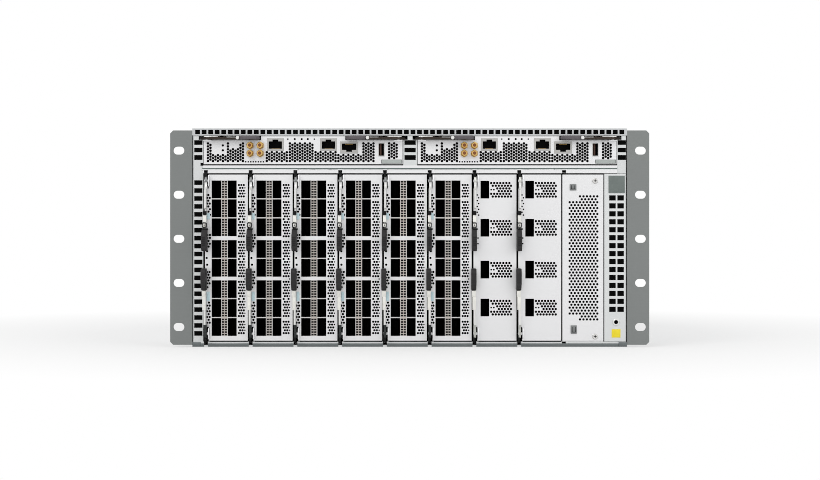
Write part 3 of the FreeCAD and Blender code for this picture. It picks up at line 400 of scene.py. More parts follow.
SPARSE_PORTS = (30.6, 68.8, 111.0, 149.4)
SPARSE_WINDOW = (8.1, 17.0)
sparse_windows = [rectangle(SPARSE_WINDOW, (low, low + PORT_HEIGHT)) for low in SPARSE_PORTS]
sparse_holes = []
for low in SPARSE_PORTS:
    for row in range(6):
        start = (20.5, 18.9)[row % 2]
        for c in range(2 if row in (2, 3) else 0, 7):
            sparse_holes.append((start + 3.06 * c, low + 2.0 + 2.72 * row, 1.3))
    sparse_holes += [(18.9, low + 8.9, 0.95), (21.6, low + 8.9, 0.95)]
sparse_holes += [((4.9, 6.3)[row % 2], 153.0 - 2.9 * row, 0.85) for row in range(8)]
sparse_holes += [(5.6, 109.6, 0.85), (5.6, 103.9, 0.85)]
sparse_plate = punched_sheet(card_edge(), sparse_windows, sparse_holes)
card_folds(sparse_plate)


GRAIN = 1000 / 0.35


def moulded_plastic(name, colour, roughness, gloss=0.5):
    """Moulded engineering plastic: an even colour under a fine spark-eroded grain."""
    made = material(name)
    place = node(made, "TexCoord").outputs["Object"]
    grain = noise(made, place, GRAIN)
    cloud = noise(made, place, 60.0)
    tone = mixed_tone(made, cloud, shaded(colour, 0.8), shaded(colour, 1.15))
    rise = node(made, "Bump", (), {"Height": grain, "Strength": 0.25, "Distance": 0.0001})
    return surfaced(made, {"Base Color": tone, "Roughness": roughness, "Specular IOR Level": gloss, "Normal": rise})


# Black sheets paint shade: strips of it lie in the joints round each plate and behind the lever notches, and a backing
# of it lies behind the airholes, so the joints and the holes read dark as painted shade.
black_shade_sheet = moulded_plastic("black_sheet_for_painted_shade", "090909", 0.95, 0.04)
lamp_lens = moulded_plastic("frosted_lamp_lens", "DDE2DC", 0.3)
NOTCH_GAP = (CARD_BOTTOM + NOTCH_HIGH, CARD_TOP - NOTCH_HIGH)
card_shade_strips = bmesh.new()
bar(card_shade_strips, (-0.45, CARD_EDGE), (PLATE_FRONT + 0.5, PLATE_BACK + 6), NOTCH_GAP)
bar(card_shade_strips, (CARD_WIDTH, CARD_WIDTH + 0.3), (PLATE_FRONT + 0.3, PLATE_BACK + 6), (CARD_BOTTOM, CARD_TOP))
bars(card_shade_strips, (PLATE_FRONT + 0.1, PLATE_BACK + 5), (((6.2, CARD_WIDTH), (CARD_TOP, CARD_TOP + 1.6)),
                                                       ((6.2, CARD_WIDTH), (CARD_BOTTOM - 1.2, CARD_BOTTOM))))
bars(card_shade_strips, (-281.3, -280.9), (((-0.45, NOTCH_WIDE + 1.2), (CARD_BOTTOM - 1.1, NOTCH_GAP[0])),
                                    ((-0.45, NOTCH_WIDE + 1.2), (NOTCH_GAP[1], CARD_TOP + 0.9))))
dense_shade_backing = bmesh.new()
bars(dense_shade_backing, SHADE_BACKING_DEPTH, (((33.9, 42.8), (CARD_BOTTOM + 1, CARD_TOP - 3)),
                            ((1.4, 7.65), (NOTCH_GAP[0] + 0.5, NOTCH_GAP[1] - 0.5))))
sparse_shade_backing = bmesh.new()
bars(sparse_shade_backing, SHADE_BACKING_DEPTH, (((18.2, 41.6), (CARD_BOTTOM + 15, CARD_TOP - 3)),
                             ((2.2, 7.4), (NOTCH_GAP[0] + 0.5, NOTCH_GAP[1] - 0.5))))
dense_lamps = bmesh.new()
for lamp_z in lamp_rows:
    for x in (LAMP_X - 1.0, LAMP_X + 1.0):
        stud(dense_lamps, (x, PLATE_FRONT - 0.1, lamp_z), (0.62, 0.5), 0.4, sides=8)

for n, (card, shift) in enumerate(LINE_CARDS):
    dense = n < DENSE_CARDS
    fitted(card, (("front", dense_plate if dense else sparse_plate, bright_sheet, "card_plate", card + "_faceplate"),
                  ("shade_strips", card_shade_strips, black_shade_sheet, "lever"),
                  ("shade_backing", dense_shade_backing if dense else sparse_shade_backing, black_shade_sheet, "lever")), shift)
    if dense:
        fitted(card, (("lamps", dense_lamps, lamp_lens, "card_plate"),), shift)

# ---- Port cages --------------------------------------------------------------
# Behind each window sits a ganged cage of stamped steel. Its bright edges frame the ports, and a vented strip parts the
# two columns; the strip's steel is darker, a painted shade of its recess. A black receptacle fills each port's depth,
# and a black liner inside the cage paints the shade of its depth.

CAGE_DEPTH = 46.0
CAGE_FRONT = PLATE_FRONT + 0.3
STRIP_SLOTS = (19.2, 22.0)


def cage_windows(columns, low, count):
    """The openings of one ganged cage, parted by thin stamped walls."""
    windows = []
    for n in range(count):
        foot = low + n * PORT_PITCH + (0.06 if n == 0 else -0.06)
        top = low + n * PORT_PITCH + PORT_HEIGHT + (0.12 if n < count - 1 else -0.06)
        windows += [rectangle((x0 + 0.1, x1 - 0.1), (foot, top)) for x0, x1 in columns]
    return windows


def cage_block(columns, low, count):
    """The bright stamped frame of one ganged cage, folded back a little way into each port."""
    low, high = group_span(low, count)
    windows = cage_windows(columns, low, count)
    if len(columns) > 1:
        windows.append(rectangle((columns[0][1] + 0.35, columns[1][0] - 0.35), (low + 0.3, high - 0.3)))
    return punched_sheet(rectangle((columns[0][0], columns[-1][1]), (low, high)), windows, [], CAGE_FRONT, 1.2)


def port_shade_liner(columns, low, count):
    """A black liner for the inside of the cage, closed at the back, that paints the shade in its depth; with each
    port's receptacle and two contact tongues.
    """
    low, high = group_span(low, count)
    across = (columns[0][0], columns[-1][1])
    bm = punched_sheet(rectangle(across, (low, high)), cage_windows(columns, low, count), [], CAGE_FRONT + 1.2,
                       CAGE_DEPTH)
    bar(bm, across, (CAGE_FRONT + CAGE_DEPTH + 1.2, CAGE_FRONT + CAGE_DEPTH + 2), (low, high))
    for n in range(count):
        foot = low + n * PORT_PITCH
        for x0, x1 in columns:
            middle = (x0 + x1) / 2
            bar(bm, (middle - 2.6, middle + 2.6), (-252, -240.2), (foot + 3, foot + PORT_HEIGHT - 3), 0.4)
            bar(bm, (middle - 0.6, middle + 0.6), (-256, -252), (foot + 4.5, foot + PORT_HEIGHT - 4.5), 0.2)
    return bm


def vent_strip(low, count):
    """The strip between two columns of ports, with seven pairs of slots to a port; its darker steel is painted shade of
    the recess it sits in.
    """
    low, high = group_span(low, count)
    slots = []
    for n in range(count):
        for k in range(7):
            z = low + n * PORT_PITCH + 1.3 + 2.55 * k
            slots += [rectangle((x - 1.15, x + 1.15), (z - 0.88, z + 0.88)) for x in STRIP_SLOTS]
    return punched_sheet(rectangle((PORT_NEAR[1] + 0.25, PORT_FAR[0] - 0.35), (low + 0.2, high - 0.3)), slots, [],
                         CAGE_FRONT + 0.8, 1.2)


cage_steel = plated_steel("tin_plated_cage_steel", "D4D3D1", 0.36)
# The strip's steel is a darker copy of the cage steel, as painted shade of its recess.
strip_shade_darkened_steel = plated_steel("strip_metal_darkened_as_painted_shade", "BFB9B3", 0.5)
black_nylon = moulded_plastic("black_glass_filled_nylon", "0E0E0F", 0.6, 0.15)

dense_cage = joined(*[cage_block((PORT_NEAR, PORT_FAR), low, count) for low, count in PORT_GROUPS])
for low, count in PORT_GROUPS:
    for n in range(count - 1):
        z = low + n * PORT_PITCH + PORT_HEIGHT
        for x in (PORT_NEAR, PORT_FAR):
            bar(dense_cage, x, (PLATE_FRONT - 0.1, CAGE_FRONT + 0.2), (z + 0.14, z + PORT_PITCH - PORT_HEIGHT - 0.08))
dense_strip = joined(*[vent_strip(low, count) for low, count in PORT_GROUPS])
sparse_cage = joined(*[cage_block((SPARSE_WINDOW,), low, 1) for low in SPARSE_PORTS])
# The liners paint the shade inside each cage with the black nylon finish; the receptacles themselves are black nylon.
dense_shade_liners_and_port_bodies = joined(*[port_shade_liner((PORT_NEAR, PORT_FAR), low, count) for low, count in PORT_GROUPS])
sparse_shade_liners_and_port_bodies = joined(*[port_shade_liner((SPARSE_WINDOW,), low, 1) for low in SPARSE_PORTS])
for n, (card, shift) in enumerate(LINE_CARDS):
    dense = n < DENSE_CARDS
    fitted(card, (("cages", dense_cage if dense else sparse_cage, cage_steel, "card_plate"),
                  ("port_bodies_and_shade_liners", dense_shade_liners_and_port_bodies if dense else sparse_shade_liners_and_port_bodies, black_nylon, "lever")), shift)
    if dense:
        fitted(card, (("vent_strip", dense_strip, strip_shade_darkened_steel, "ear_metal"),), shift)

# ---- Line-card boards --------------------------------------------------------
# A green laminate board stands behind each faceplate, carrying the cages, a
# finned aluminium heat sink, memory and power parts, and two rear plugs.


def laminate(name, colour):
    """Solder-masked glass laminate: glossy green with faint copper runs below."""
    made = material(name)
    place = node(made, "TexCoord").outputs["Object"]
    stretch = node(made, "Mapping", (), {"Vector": place, "Scale": (1, 60, 420)})
    runs = node(made, "TexVoronoi", {"feature": "F1"}, {"Vector": stretch, "Scale": 2.5})
    step = node(made, "MapRange", (), {"Value": runs.outputs["Distance"], "From Min": 0.25, "From Max": 0.4})
    tone = mixed_tone(made, step, linear(colour), shaded(colour, 1.7))
    return surfaced(made, {"Base Color": tone, "Roughness": 0.32, "Coat Weight": 0.4})


green_laminate = laminate("green_solder_masked_laminate", "1E5B3A")
sink_alloy = plated_steel("extruded_aluminium", "BFC2C5", 0.38)

BOARD_BACK = 36
PLUG_DEPTH = (14, 29.7)
BOARD_LEFT = 6.2
BOARD_RIGHT = 7.8
bare_board = block((BOARD_LEFT, BOARD_RIGHT), (PLATE_BACK + 0.8, BOARD_BACK), (5.6, 174.3))
sinks = bmesh.new()
bar(sinks, (BOARD_RIGHT, BOARD_RIGHT + 4), (-190, -110), (50, 130), 0.4)
for n in range(20):
    z = 51.2 + n * 4.08
    bar(sinks, (BOARD_RIGHT + 4, BOARD_RIGHT + 24), (-189, -111), (z - 0.6, z + 0.6))
blacks = bmesh.new()
for low in (40, 110):
    bar(blacks, (BOARD_RIGHT, BOARD_RIGHT + 6), (-80, -40), (low, low + 30), 0.4)
for low in (20, 100):
    bar(blacks, (BOARD_RIGHT, BOARD_RIGHT + 9), PLUG_DEPTH, (low, low + 50), 0.5)
for k in range(10):
    y = -225 + 11 * (k % 3)
    z = 20 + 15 * k
    bar(blacks, (BOARD_RIGHT, BOARD_RIGHT + 2), (y, y + 8), (z, z + 8), 0.2)
for card, shift in LINE_CARDS:
    fitted(card, (("laminate", bare_board, green_laminate, "board", card + "_board"),
                  ("heat_sink", sinks, sink_alloy, "card_plate"), ("parts", blacks, black_nylon, "lever")), shift)

# ---- Line-card ejector levers ------------------------------------------------
# A bored steel lever turns on a pin at each end of a card and hooks the chassis
# with its claw. A moulded grip is pressed on its free end, and a pale latch sits
# by the grip; only the upper lever has stops and a small spring box beside it.

LEVER_LEFT = 1.0
LEVER_THICK = 3.4
CLAW_THICK = 2.4
LEVER_BACK = -291.0
LEVER_FRONT = -301.0
GRIP_FRONT = -308.0
GRIP_BOTTOM = 96.5
GRIP_TOP = 118.6


def flat_part(corners, step, bevel, segments):
    """A flat part cut to an outline, its edges eased if a bevel is given."""
    bm = bmesh.new()
    drawn_out(bm, [bm.faces.new([bm.verts.new(corner) for corner in corners])], step)
    if bevel:
        bmesh.ops.bevel(bm, geom=bm.edges[:], offset=bevel, segments=segments, profile=0.5, affect="EDGES",
                        material=-1)
    return bm


def side_profile(corners, x, bevel=0.0, segments=1):
    """A flat part with its outline in Y and Z, standing between two X planes."""
    return flat_part([(x[0], y, z) for y, z in corners], (x[1] - x[0], 0, 0), bevel, segments)


def mirrored(bm, axis, middle):
    """The same part for the other end: 0 mirrors it in X, and 2 in Z."""
    copy = bm.copy()
    shift, flip = [0, 0, 0], [1, 1, 1, 1]
    shift[axis] = 2 * middle
    flip[axis] = -1
    bmesh.ops.transform(copy, matrix=Matrix.Translation(shift) @ Matrix.Diagonal(flip), verts=copy.verts)
    bmesh.ops.reverse_faces(copy, faces=copy.faces)
    return copy


LOWER_GRIP_DROP = 5.0
LOWER_SHIFT = -0.5
WIDE_ARM = (LEVER_LEFT - 0.8, LEVER_LEFT + 2.6)
SLIM_ARM = (LEVER_LEFT + 0.4, LEVER_LEFT + 2.5)
HUB_SPAN = (LEVER_LEFT + 0.4, LEVER_LEFT + 3.0)
GRIP_SPAN = (LEVER_LEFT - 1.9, LEVER_LEFT + LEVER_THICK - 0.4)
arm = side_profile([
    (LEVER_BACK, GRIP_TOP), (LEVER_BACK, PIVOT_Z - 9), (LEVER_FRONT, PIVOT_Z - 9), (LEVER_FRONT, GRIP_TOP + 20.4),
    (LEVER_FRONT + 5, GRIP_TOP + 20.4), (LEVER_FRONT + 5, GRIP_TOP + 14.4), (LEVER_FRONT + 5, GRIP_TOP),
], SLIM_ARM, 0.3)
hub = side_profile([
    (LEVER_BACK, PIVOT_Z - 1.5), (PIVOT_Y + 3.5, PIVOT_Z - 1), (PIVOT_Y + 4.2, PIVOT_Z + 3),
    (PIVOT_Y + 1.0, PIVOT_Z + 4.6), (PIVOT_Y - 2.5, PIVOT_Z + 4), (PIVOT_Y - 4, PIVOT_Z), (PIVOT_Y - 4, PIVOT_Z - 1.5),
], HUB_SPAN, 0.25)
knee = side_profile([
    (LEVER_BACK, PIVOT_Z - 9), (LEVER_BACK, PIVOT_Z - 1.5), (PIVOT_Y - 4, PIVOT_Z - 1.5), (PIVOT_Y - 4, PIVOT_Z - 5),
    (LEVER_FRONT, PIVOT_Z - 9),
], HUB_SPAN, 0.25)
claw = side_profile([
    (PIVOT_Y + 3.5, PIVOT_Z + 1), (PIVOT_Y + 6.4, PIVOT_Z + 8), (PIVOT_Y + 3.4, PIVOT_Z + 9.6),
    (PIVOT_Y - 2.5, PIVOT_Z + 4), (PIVOT_Y - 3.4, PIVOT_Z + 1.5),
], (LEVER_LEFT, LEVER_LEFT + CLAW_THICK), 0.2)
grip = side_profile([
    (LEVER_BACK + 0.4, GRIP_BOTTOM + 1.5), (LEVER_BACK + 0.4, GRIP_TOP), (LEVER_FRONT, GRIP_TOP),
    (GRIP_FRONT, GRIP_TOP - 7), (GRIP_FRONT, GRIP_BOTTOM + 3), (GRIP_FRONT + 3, GRIP_BOTTOM),
    (LEVER_BACK - 1, GRIP_BOTTOM),
], GRIP_SPAN, 0.7, 3)
for k in range(6):
    z = GRIP_BOTTOM + 5 + 2 * k
    bar(grip, GRIP_SPAN, (GRIP_FRONT, GRIP_FRONT + 0.6), (z, z + 0.9), 0.2)
dropped_grip = grip.copy()
bmesh.ops.translate(dropped_grip, verts=dropped_grip.verts, vec=(0, 0, LOWER_GRIP_DROP))

# The upper lever's latch is white, between a black stop and a small black spring box.
BOX_BACK = LEVER_FRONT + 4.8
latch = side_profile([
    (LEVER_FRONT - 1.4, 125.4), (BOX_BACK, 125.4), (BOX_BACK, 132.6), (LEVER_FRONT + 0.6, 132.6),
], WIDE_ARM, 0.4, 2)
stops = bmesh.new()
bar(stops, WIDE_ARM, (LEVER_FRONT - 0.6, BOX_BACK), (132.8, 136.6), 0.4)
bars(stops, (LEVER_FRONT - 0.8, BOX_BACK), (((LEVER_LEFT - 1.5, LEVER_LEFT + 2.9), (120.0, 124.9)),
                                            ((LEVER_LEFT - 1.2, LEVER_LEFT + 3.9), (117.6, 119.4))), 0.3)
spring_box = block((LEVER_LEFT - 0.6, LEVER_LEFT + 2.0), (LEVER_FRONT - 1.3, LEVER_FRONT), (121.0, 124.0), 0.1)
box_window = block((LEVER_LEFT + 0.2, LEVER_LEFT + 1.3), (LEVER_FRONT - 1.5, LEVER_FRONT - 1.2), (121.9, 123.1), 0.1)

# The lower lever's latch runs straight into a wider arm, without a spring box.
plain_latch = side_profile([
    (LEVER_FRONT - 1.4, 123.8), (BOX_BACK, 123.8), (BOX_BACK, 130.2), (LEVER_FRONT + 0.2, 130.2),
], (LEVER_LEFT - 1.3, LEVER_LEFT + 2.6), 0.4, 2)
bar(plain_latch, WIDE_ARM, (LEVER_FRONT - 0.3, BOX_BACK), (130.2, 143.2), 0.3)

lever_steel = plated_steel("bright_plated_lever_steel", "E4E4E2", 0.34)
hub_steel = plated_steel("grey_cast_zinc", "7C7E7E", 0.5)
# The lower levers' hubs on the dense cards are the same cast zinc made darker, as painted shade.
shade_darkened_hub_steel = plated_steel("cast_zinc_darkened_for_painted_shade", "3E4141", 0.5)
pale_hub = plated_steel("pale_cast_zinc", "C4C5C0", 0.45)
# The claws, and the window of the upper lever's spring box, are painted near-black as the shade they lie in.
claw_shade_black_steel = plated_steel("steel_painted_black_for_shade", "1B1C1C", 0.6)
grip_plastic = moulded_plastic("dark_grey_moulded_nylon", "2E2D2E", 0.55, 0.25)
latch_plastic = moulded_plastic("white_moulded_acetal", "EDECE6", 0.4)

upper_arm = joined(arm, knee)
upper_claw = joined(box_window, claw)
lower_arm, lower_hub, lower_grip, lower_latch, lower_claw = [
    mirrored(part, 2, CARD_MIDDLE) for part in (arm, joined(hub, knee), dropped_grip, plain_latch, claw)]
for n, (card, shift) in enumerate(LINE_CARDS):
    dense = n < DENSE_CARDS
    lever = card + "_upper"
    fitted(lever, (
        ("arm", upper_arm, lever_steel, "card_plate", lever + "_ejector"),
        ("hub", hub, hub_steel if dense else pale_hub, "ear_metal"), ("grip", grip, grip_plastic, "lever"),
        ("latch", latch, latch_plastic, "lever"), ("stops", stops, black_nylon, "lever"),
        ("spring_box", spring_box, latch_plastic, "lever"), ("claw", upper_claw, claw_shade_black_steel, "ear_metal"),
    ), shift, lever + "_lever")
    lever = card + "_lower"
    fitted(lever, (
        ("arm", lower_arm, lever_steel, "card_plate", lever + "_ejector"),
        ("hub", lower_hub, shade_darkened_hub_steel if dense else pale_hub, "ear_metal"), ("grip", lower_grip, grip_plastic, "lever"),
        ("latch", lower_latch, latch_plastic, "lever"), ("claw", lower_claw, claw_shade_black_steel, "ear_metal"),
    ), (shift[0] + LOWER_SHIFT, 0, 0), lever + "_lever")

# A pale blue touch pad on the faceplate marks where each lever's latch lands.
touch_blue = moulded_plastic("pale_blue_moulded_nylon", "CFE9F0", 0.45)
pads = bmesh.new()
for z in ((128.3, 134.6), (46.2, 55.5)):
    bar(pads, (3.3, 6.1), (PLATE_FRONT - 0.9, PLATE_FRONT), z, 0.3)
for card, shift in LINE_CARDS[:DENSE_CARDS]:
    fitted(card, (("touch_pads", pads, touch_blue, "lever"),), shift)

# ---- Control cards -----------------------------------------------------------
# Two flat cards over the shelf. Each plated faceplate is punched with a fine
# field of airholes round its sockets; a raised middle stands between two levers.

CONTROL_LEFT = -207.6
CONTROL_WIDTH = 200.4
CONTROL_PITCH = 215.6
CONTROL_BOTTOM = 184.0
CONTROL_TOP = 212.1
CONTROL_SHOULDER = 208.1
MIDDLE = CONTROL_LEFT + CONTROL_WIDTH / 2
JACKS = ((-143.7, -127.0, 197.7, 210.0, 1), (-90.2, -73.5, 197.7, 210.0, 1), (-70.0, -52.1, 194.9, 206.8, -1))
USB = (-31.7, -25.4, 192.0, 205.4)
COAX = ((-160.7, 202.8), (-150.5, 202.8), (-160.7, 194.8), (-150.5, 194.8))
AIR_PITCH_X = 2.52
AIR_PITCH_Z = 2.95
AIR_RADIUS = 1.4
AIR_MARGIN = 1.5

CONTROL_RIGHT = CONTROL_LEFT + CONTROL_WIDTH
MIDDLE_EDGES = (MIDDLE - 42.5, MIDDLE + 42.5)

control_edge = [(CONTROL_LEFT, CONTROL_BOTTOM), (CONTROL_RIGHT, CONTROL_BOTTOM), (CONTROL_RIGHT, CONTROL_SHOULDER),
                (MIDDLE_EDGES[1], CONTROL_SHOULDER), (MIDDLE_EDGES[1], CONTROL_TOP), (MIDDLE_EDGES[0], CONTROL_TOP),
                (MIDDLE_EDGES[0], CONTROL_SHOULDER), (CONTROL_LEFT, CONTROL_SHOULDER)]
SOCKETS = [jack[:4] for jack in JACKS] + [USB]
control_windows = [rectangle((a - 0.1, b + 0.1), (low - 0.1, high + 0.1)) for a, b, low, high in SOCKETS]
CLEAR = [(-198.0, -184.9, 196.0, 204.3), (-181.2, -172.9, 200.8, 204.5)] + SOCKETS


def air_field(x, z):
    """Staggered airholes over a field, leaving out those that meet a socket or a clear patch."""
    holes = []
    for c in range(int((x[1] - x[0]) / AIR_PITCH_X) + 1):
        for r in range(int((z[1] - z[0]) / AIR_PITCH_Z) + 1):
            cx = x[0] + c * AIR_PITCH_X
            cz = z[0] + r * AIR_PITCH_Z + (c % 2) * AIR_PITCH_Z / 2
            blocked = any(a - AIR_MARGIN < cx < b + AIR_MARGIN and low - AIR_MARGIN < cz < high + AIR_MARGIN
                          for a, b, low, high in CLEAR)
            if cz < z[1] and not blocked:
                holes.append((cx, cz, AIR_RADIUS))
    return holes


control_holes = []
for x, z in (((-203.3, -167.9), (187.2, 205.9)), ((-144.0, -121.9), (187.2, 196.3)), ((-120.7, -96.1), (187.2, 206.0)),
             ((-94.9, -73.2), (187.2, 196.3)), ((-71.9, -48.6), (187.2, 193.4)), ((-46.6, -34.4), (187.2, 205.6)),
             ((-20.7, -13.0), (190.2, 205.4))):
    control_holes += air_field(x, z)
control_holes += [(-165.2 + 2.53 * k, 186.4, 0.85) for k in range(8)]
control_holes += [(x, z, 3.3) for x, z in COAX]
control_holes += [(x, 209.3, 1.1) for x in (-115.8, -108.8, -102.7)] + [(x, 209.3, 0.8) for x in (-122.8, -96.1)]
control_holes += [(-188.3, z, 1.25) for z in (198.0, 202.9)]
control_plate = punched_sheet(control_edge, control_windows, control_holes)
bar(control_plate, (CONTROL_LEFT + 4, CONTROL_RIGHT - 4), (PLATE_BACK, PLATE_BACK + 8), (CONTROL_BOTTOM, 185.2))
for x, pin in (((CONTROL_LEFT, CONTROL_LEFT + 8.6), CONTROL_LEFT + 4.1),
               ((CONTROL_RIGHT - 8.6, CONTROL_RIGHT), CONTROL_RIGHT - 4.1)):
    bar(control_plate, x, (EAR_FRONT, PLATE_BACK), (CONTROL_SHOULDER - 0.8, CONTROL_SHOULDER), 0.2)
    stud(control_plate, (pin, PIVOT_Y, CONTROL_SHOULDER + 1.7), (1.4, 1.4), 4.6, Matrix.Identity(4), 20)
# Black sheets paint shade: a backing behind the airholes, strips in the joints below and beside the plate, and strips
# behind the levers' rows above it.
control_shade_backing = bmesh.new()
bars(control_shade_backing, SHADE_BACKING_DEPTH, (
    ((CONTROL_LEFT + 1.5, -166.2), (185.4, 194.4)), ((-144.9, -34.0), (185.4, 194.4)), ((-22.5, -9.0), (185.4, 194.4)),
    ((CONTROL_LEFT + 1.5, -166.2), (194.4, 207)), ((-126.4, -90.7), (194.4, 207)), ((-51.8, -34.0), (194.4, 207)),
    ((-22.5, -9.0), (194.4, 207)), ((-144.9, -70.6), (194.4, 197.2)), ((-126, -92), (207, 211)),
    ((-165.9, -144.9), (185.2, 188))))
bar(control_shade_backing, (CONTROL_LEFT, CONTROL_RIGHT), (PLATE_FRONT + 0.5, PLATE_BACK + 5), (182.5, CONTROL_BOTTOM))
bar(control_shade_backing, (CONTROL_RIGHT, CONTROL_RIGHT + 0.7), (PLATE_FRONT + 0.4, PLATE_BACK + 5), (183, CONTROL_SHOULDER))
bars(control_shade_backing, (PLATE_BACK + 3, PLATE_BACK + 3.5), (
    ((CONTROL_LEFT, MIDDLE_EDGES[0]), (CONTROL_SHOULDER - 0.2, 212.3)),
    ((MIDDLE_EDGES[1], CONTROL_RIGHT), (CONTROL_SHOULDER - 0.2, 212.3))))

# Jack shells are tinned steel over black nylon, with gold spring contacts. The
# coaxial sockets are turned brass, gold plated, with a threaded barrel.

gold = material("gold_plated_turned_brass")
gold_cloud = noise(gold, node(gold, "TexCoord").outputs["Object"], 220.0)
gold_tone = mixed_tone(gold, gold_cloud, linear("B4853C"), linear("EBCB85"))
surfaced(gold, {"Base Color": gold_tone, "Metallic": 1.0, "Roughness": 0.28})

rims = bmesh.new()
jack_housings_and_usb_shade = bmesh.new()
contacts = bmesh.new()
JACK_FRONT = PLATE_FRONT - 0.5
JACK_RIM = 1.7


def jack_opening(a, b, low, high, notch):
    """The socket's mouth, stepped where the plug's latch goes."""
    middle = (a + b) / 2
    foot, top = (low + 1.8, high - 3.0) if notch > 0 else (high - 2.0, low + 3.4)
    tip = high - 1.2 if notch > 0 else low + 1.6
    return [(a + JACK_RIM, foot), (b - JACK_RIM, foot), (b - JACK_RIM, top), (middle + 2.9, top), (middle + 2.9, tip),
            (middle - 2.9, tip), (middle - 2.9, top), (a + JACK_RIM, top)]


for jack in JACKS:
    a, b, low, high, notch = jack
    edge = rectangle((a, b), (low, high))
    rims = joined(rims, punched_sheet(edge, [jack_opening(*jack)], [], JACK_FRONT, 1.0))
    jack_housings_and_usb_shade = joined(jack_housings_and_usb_shade, punched_sheet(edge, [jack_opening(*jack)], [], JACK_FRONT + 1.0, 13))
    bar(jack_housings_and_usb_shade, (a, b), (JACK_FRONT + 14, JACK_FRONT + 17), (low, high))
    spring_z = low + 2.3 if notch > 0 else high - 2.5
    for k in range(8):
        x = (a + b) / 2 - 3.57 + 1.02 * k
        bar(contacts, (x - 0.22, x + 0.22), (JACK_FRONT + 3, JACK_FRONT + 13), (spring_z - 0.25, spring_z + 0.25))
usb_x, usb_z = USB[:2], USB[2:]
usb_inside = (usb_z[0] + 0.5, usb_z[1] - 0.5)
shells = bmesh.new()
box_walls(shells, usb_x, (JACK_FRONT, JACK_FRONT + 16), usb_z, 0.5)
# Black bars inside the USB shell's sides and back paint the shade in its depth.
bars(jack_housings_and_usb_shade, (JACK_FRONT + 0.4, JACK_FRONT + 16), (((usb_x[0] + 0.5, usb_x[0] + 0.8), usb_inside),
                                                        ((usb_x[1] - 0.8, usb_x[1] - 0.5), usb_inside)))
bar(jack_housings_and_usb_shade, (usb_x[0] + 0.5, usb_x[1] - 0.5), (JACK_FRONT + 15.6, JACK_FRONT + 16), usb_inside)
tongue = block((usb_x[0] + 1.4, usb_x[0] + 3.2), (JACK_FRONT + 1.5, JACK_FRONT + 15.8),
               (usb_z[0] + 1.2, usb_z[1] - 1.2), 0.2)

COAX_FRONT = -298.4
NUT_FRONT = PLATE_FRONT - 1.6
coax = bmesh.new()
# Each core is a flat dark brown disc on the barrel's front, painted shade standing in for the bore.
coax_bore_shade = bmesh.new()
for x, z in COAX:
    stud(coax, (x, (NUT_FRONT + PLATE_FRONT) / 2, z), (3.9, 3.9), PLATE_FRONT - NUT_FRONT, sides=6)
    stud(coax, (x, (COAX_FRONT + NUT_FRONT) / 2, z), (2.6, 2.6), NUT_FRONT - COAX_FRONT, sides=28)
    for k in range(7):
        stud(coax, (x, -298.0 + k, z), (3.15, 2.75), 0.5, sides=28)
    stud(coax_bore_shade, (x, COAX_FRONT - 0.1, z), (1.7, 1.7), 0.3)
jack_steel = plated_steel("tinned_jack_steel", "B4B3B0", 0.4)
# A darkened brass tone for the cores, as painted shade of the bores.
shade_darkened_brass = moulded_plastic("brass_darkened_for_painted_bore_shade", "7A4312", 0.45)
tongue_plastic = moulded_plastic("dark_brown_socket_tongue", "43230F", 0.5)
label_face = block((-28.0, -8.2), (PLATE_FRONT - 0.2, PLATE_FRONT), (185.1, 188.1), 0.08)
label_edge = block((-28.6, -7.6), (PLATE_FRONT - 0.1, PLATE_FRONT), (184.6, 188.6))
label_paint = moulded_plastic("grey_green_printed_polyester", "AEB4B1", 0.5)
label_border = moulded_plastic("dark_grey_printed_polyester", "4E5452", 0.5)

BOARD_TOP = 186.8
control_laminate = block((CONTROL_LEFT + 3, CONTROL_RIGHT - 3), (PLATE_BACK, BOARD_BACK), (185.2, BOARD_TOP))
control_alloy = bmesh.new()
bar(control_alloy, (MIDDLE - 30, MIDDLE + 20), (-180, -110), (BOARD_TOP, BOARD_TOP + 4), 0.3)
for k in range(16):
    x = MIDDLE - 28.6 + 3.2 * k
    bar(control_alloy, (x - 0.5, x + 0.5), (-179, -111), (BOARD_TOP + 4, BOARD_TOP + 18))
control_blacks = bmesh.new()
for x, y, high in (((20, 58), (-130, -50), 192.8), ((60, 140), PLUG_DEPTH, 196.2),
                   ((42.2, 62.3), (PLATE_BACK, PLATE_BACK + 12), 207)):
    bar(control_blacks, (CONTROL_LEFT + x[0], CONTROL_LEFT + x[1]), y, (BOARD_TOP, high), 0.4)
for a, b, low, high, notch in JACKS:
    bar(control_blacks, (a + 1, b - 1), (PLATE_BACK + 3, PLATE_FRONT + 15.5), (BOARD_TOP, low))
for k in range(9):
    x = CONTROL_LEFT + 100 + 10 * (k % 4)
    y = -90 + 22 * (k // 4)
    bar(control_blacks, (x, x + 7), (y, y + 12), (BOARD_TOP, BOARD_TOP + 1.8), 0.2)

CONTROL_CARDS = [("control_card_%d" % (n + 1), (n * CONTROL_PITCH, 0, 0)) for n in range(2)]
for card, shift in CONTROL_CARDS:
    fitted(card, (
        ("front", control_plate, bright_sheet, "card_plate", card + "_faceplate"),
        ("laminate", control_laminate, green_laminate, "board", card + "_board"),
        ("shade_backing", control_shade_backing, black_shade_sheet, "lever"), ("jack_shells", shells, cage_steel, "card_plate"),
        ("jack_rims", rims, jack_steel, "card_plate"), ("jack_housings_and_usb_lining_shade", jack_housings_and_usb_shade, black_nylon, "lever"),
        ("contacts", contacts, gold, "card_plate"), ("coaxial_sockets", coax, gold, "card_plate"),
        ("coaxial_bore_shade", coax_bore_shade, shade_darkened_brass, "lever"), ("tongue", tongue, tongue_plastic, "lever"),
        ("label_face", label_face, label_paint, "lever"), ("label_edge", label_edge, label_border, "lever"),
        ("heat_sink", control_alloy, sink_alloy, "card_plate"), ("parts", control_blacks, black_nylon, "lever"),
    ), shift)

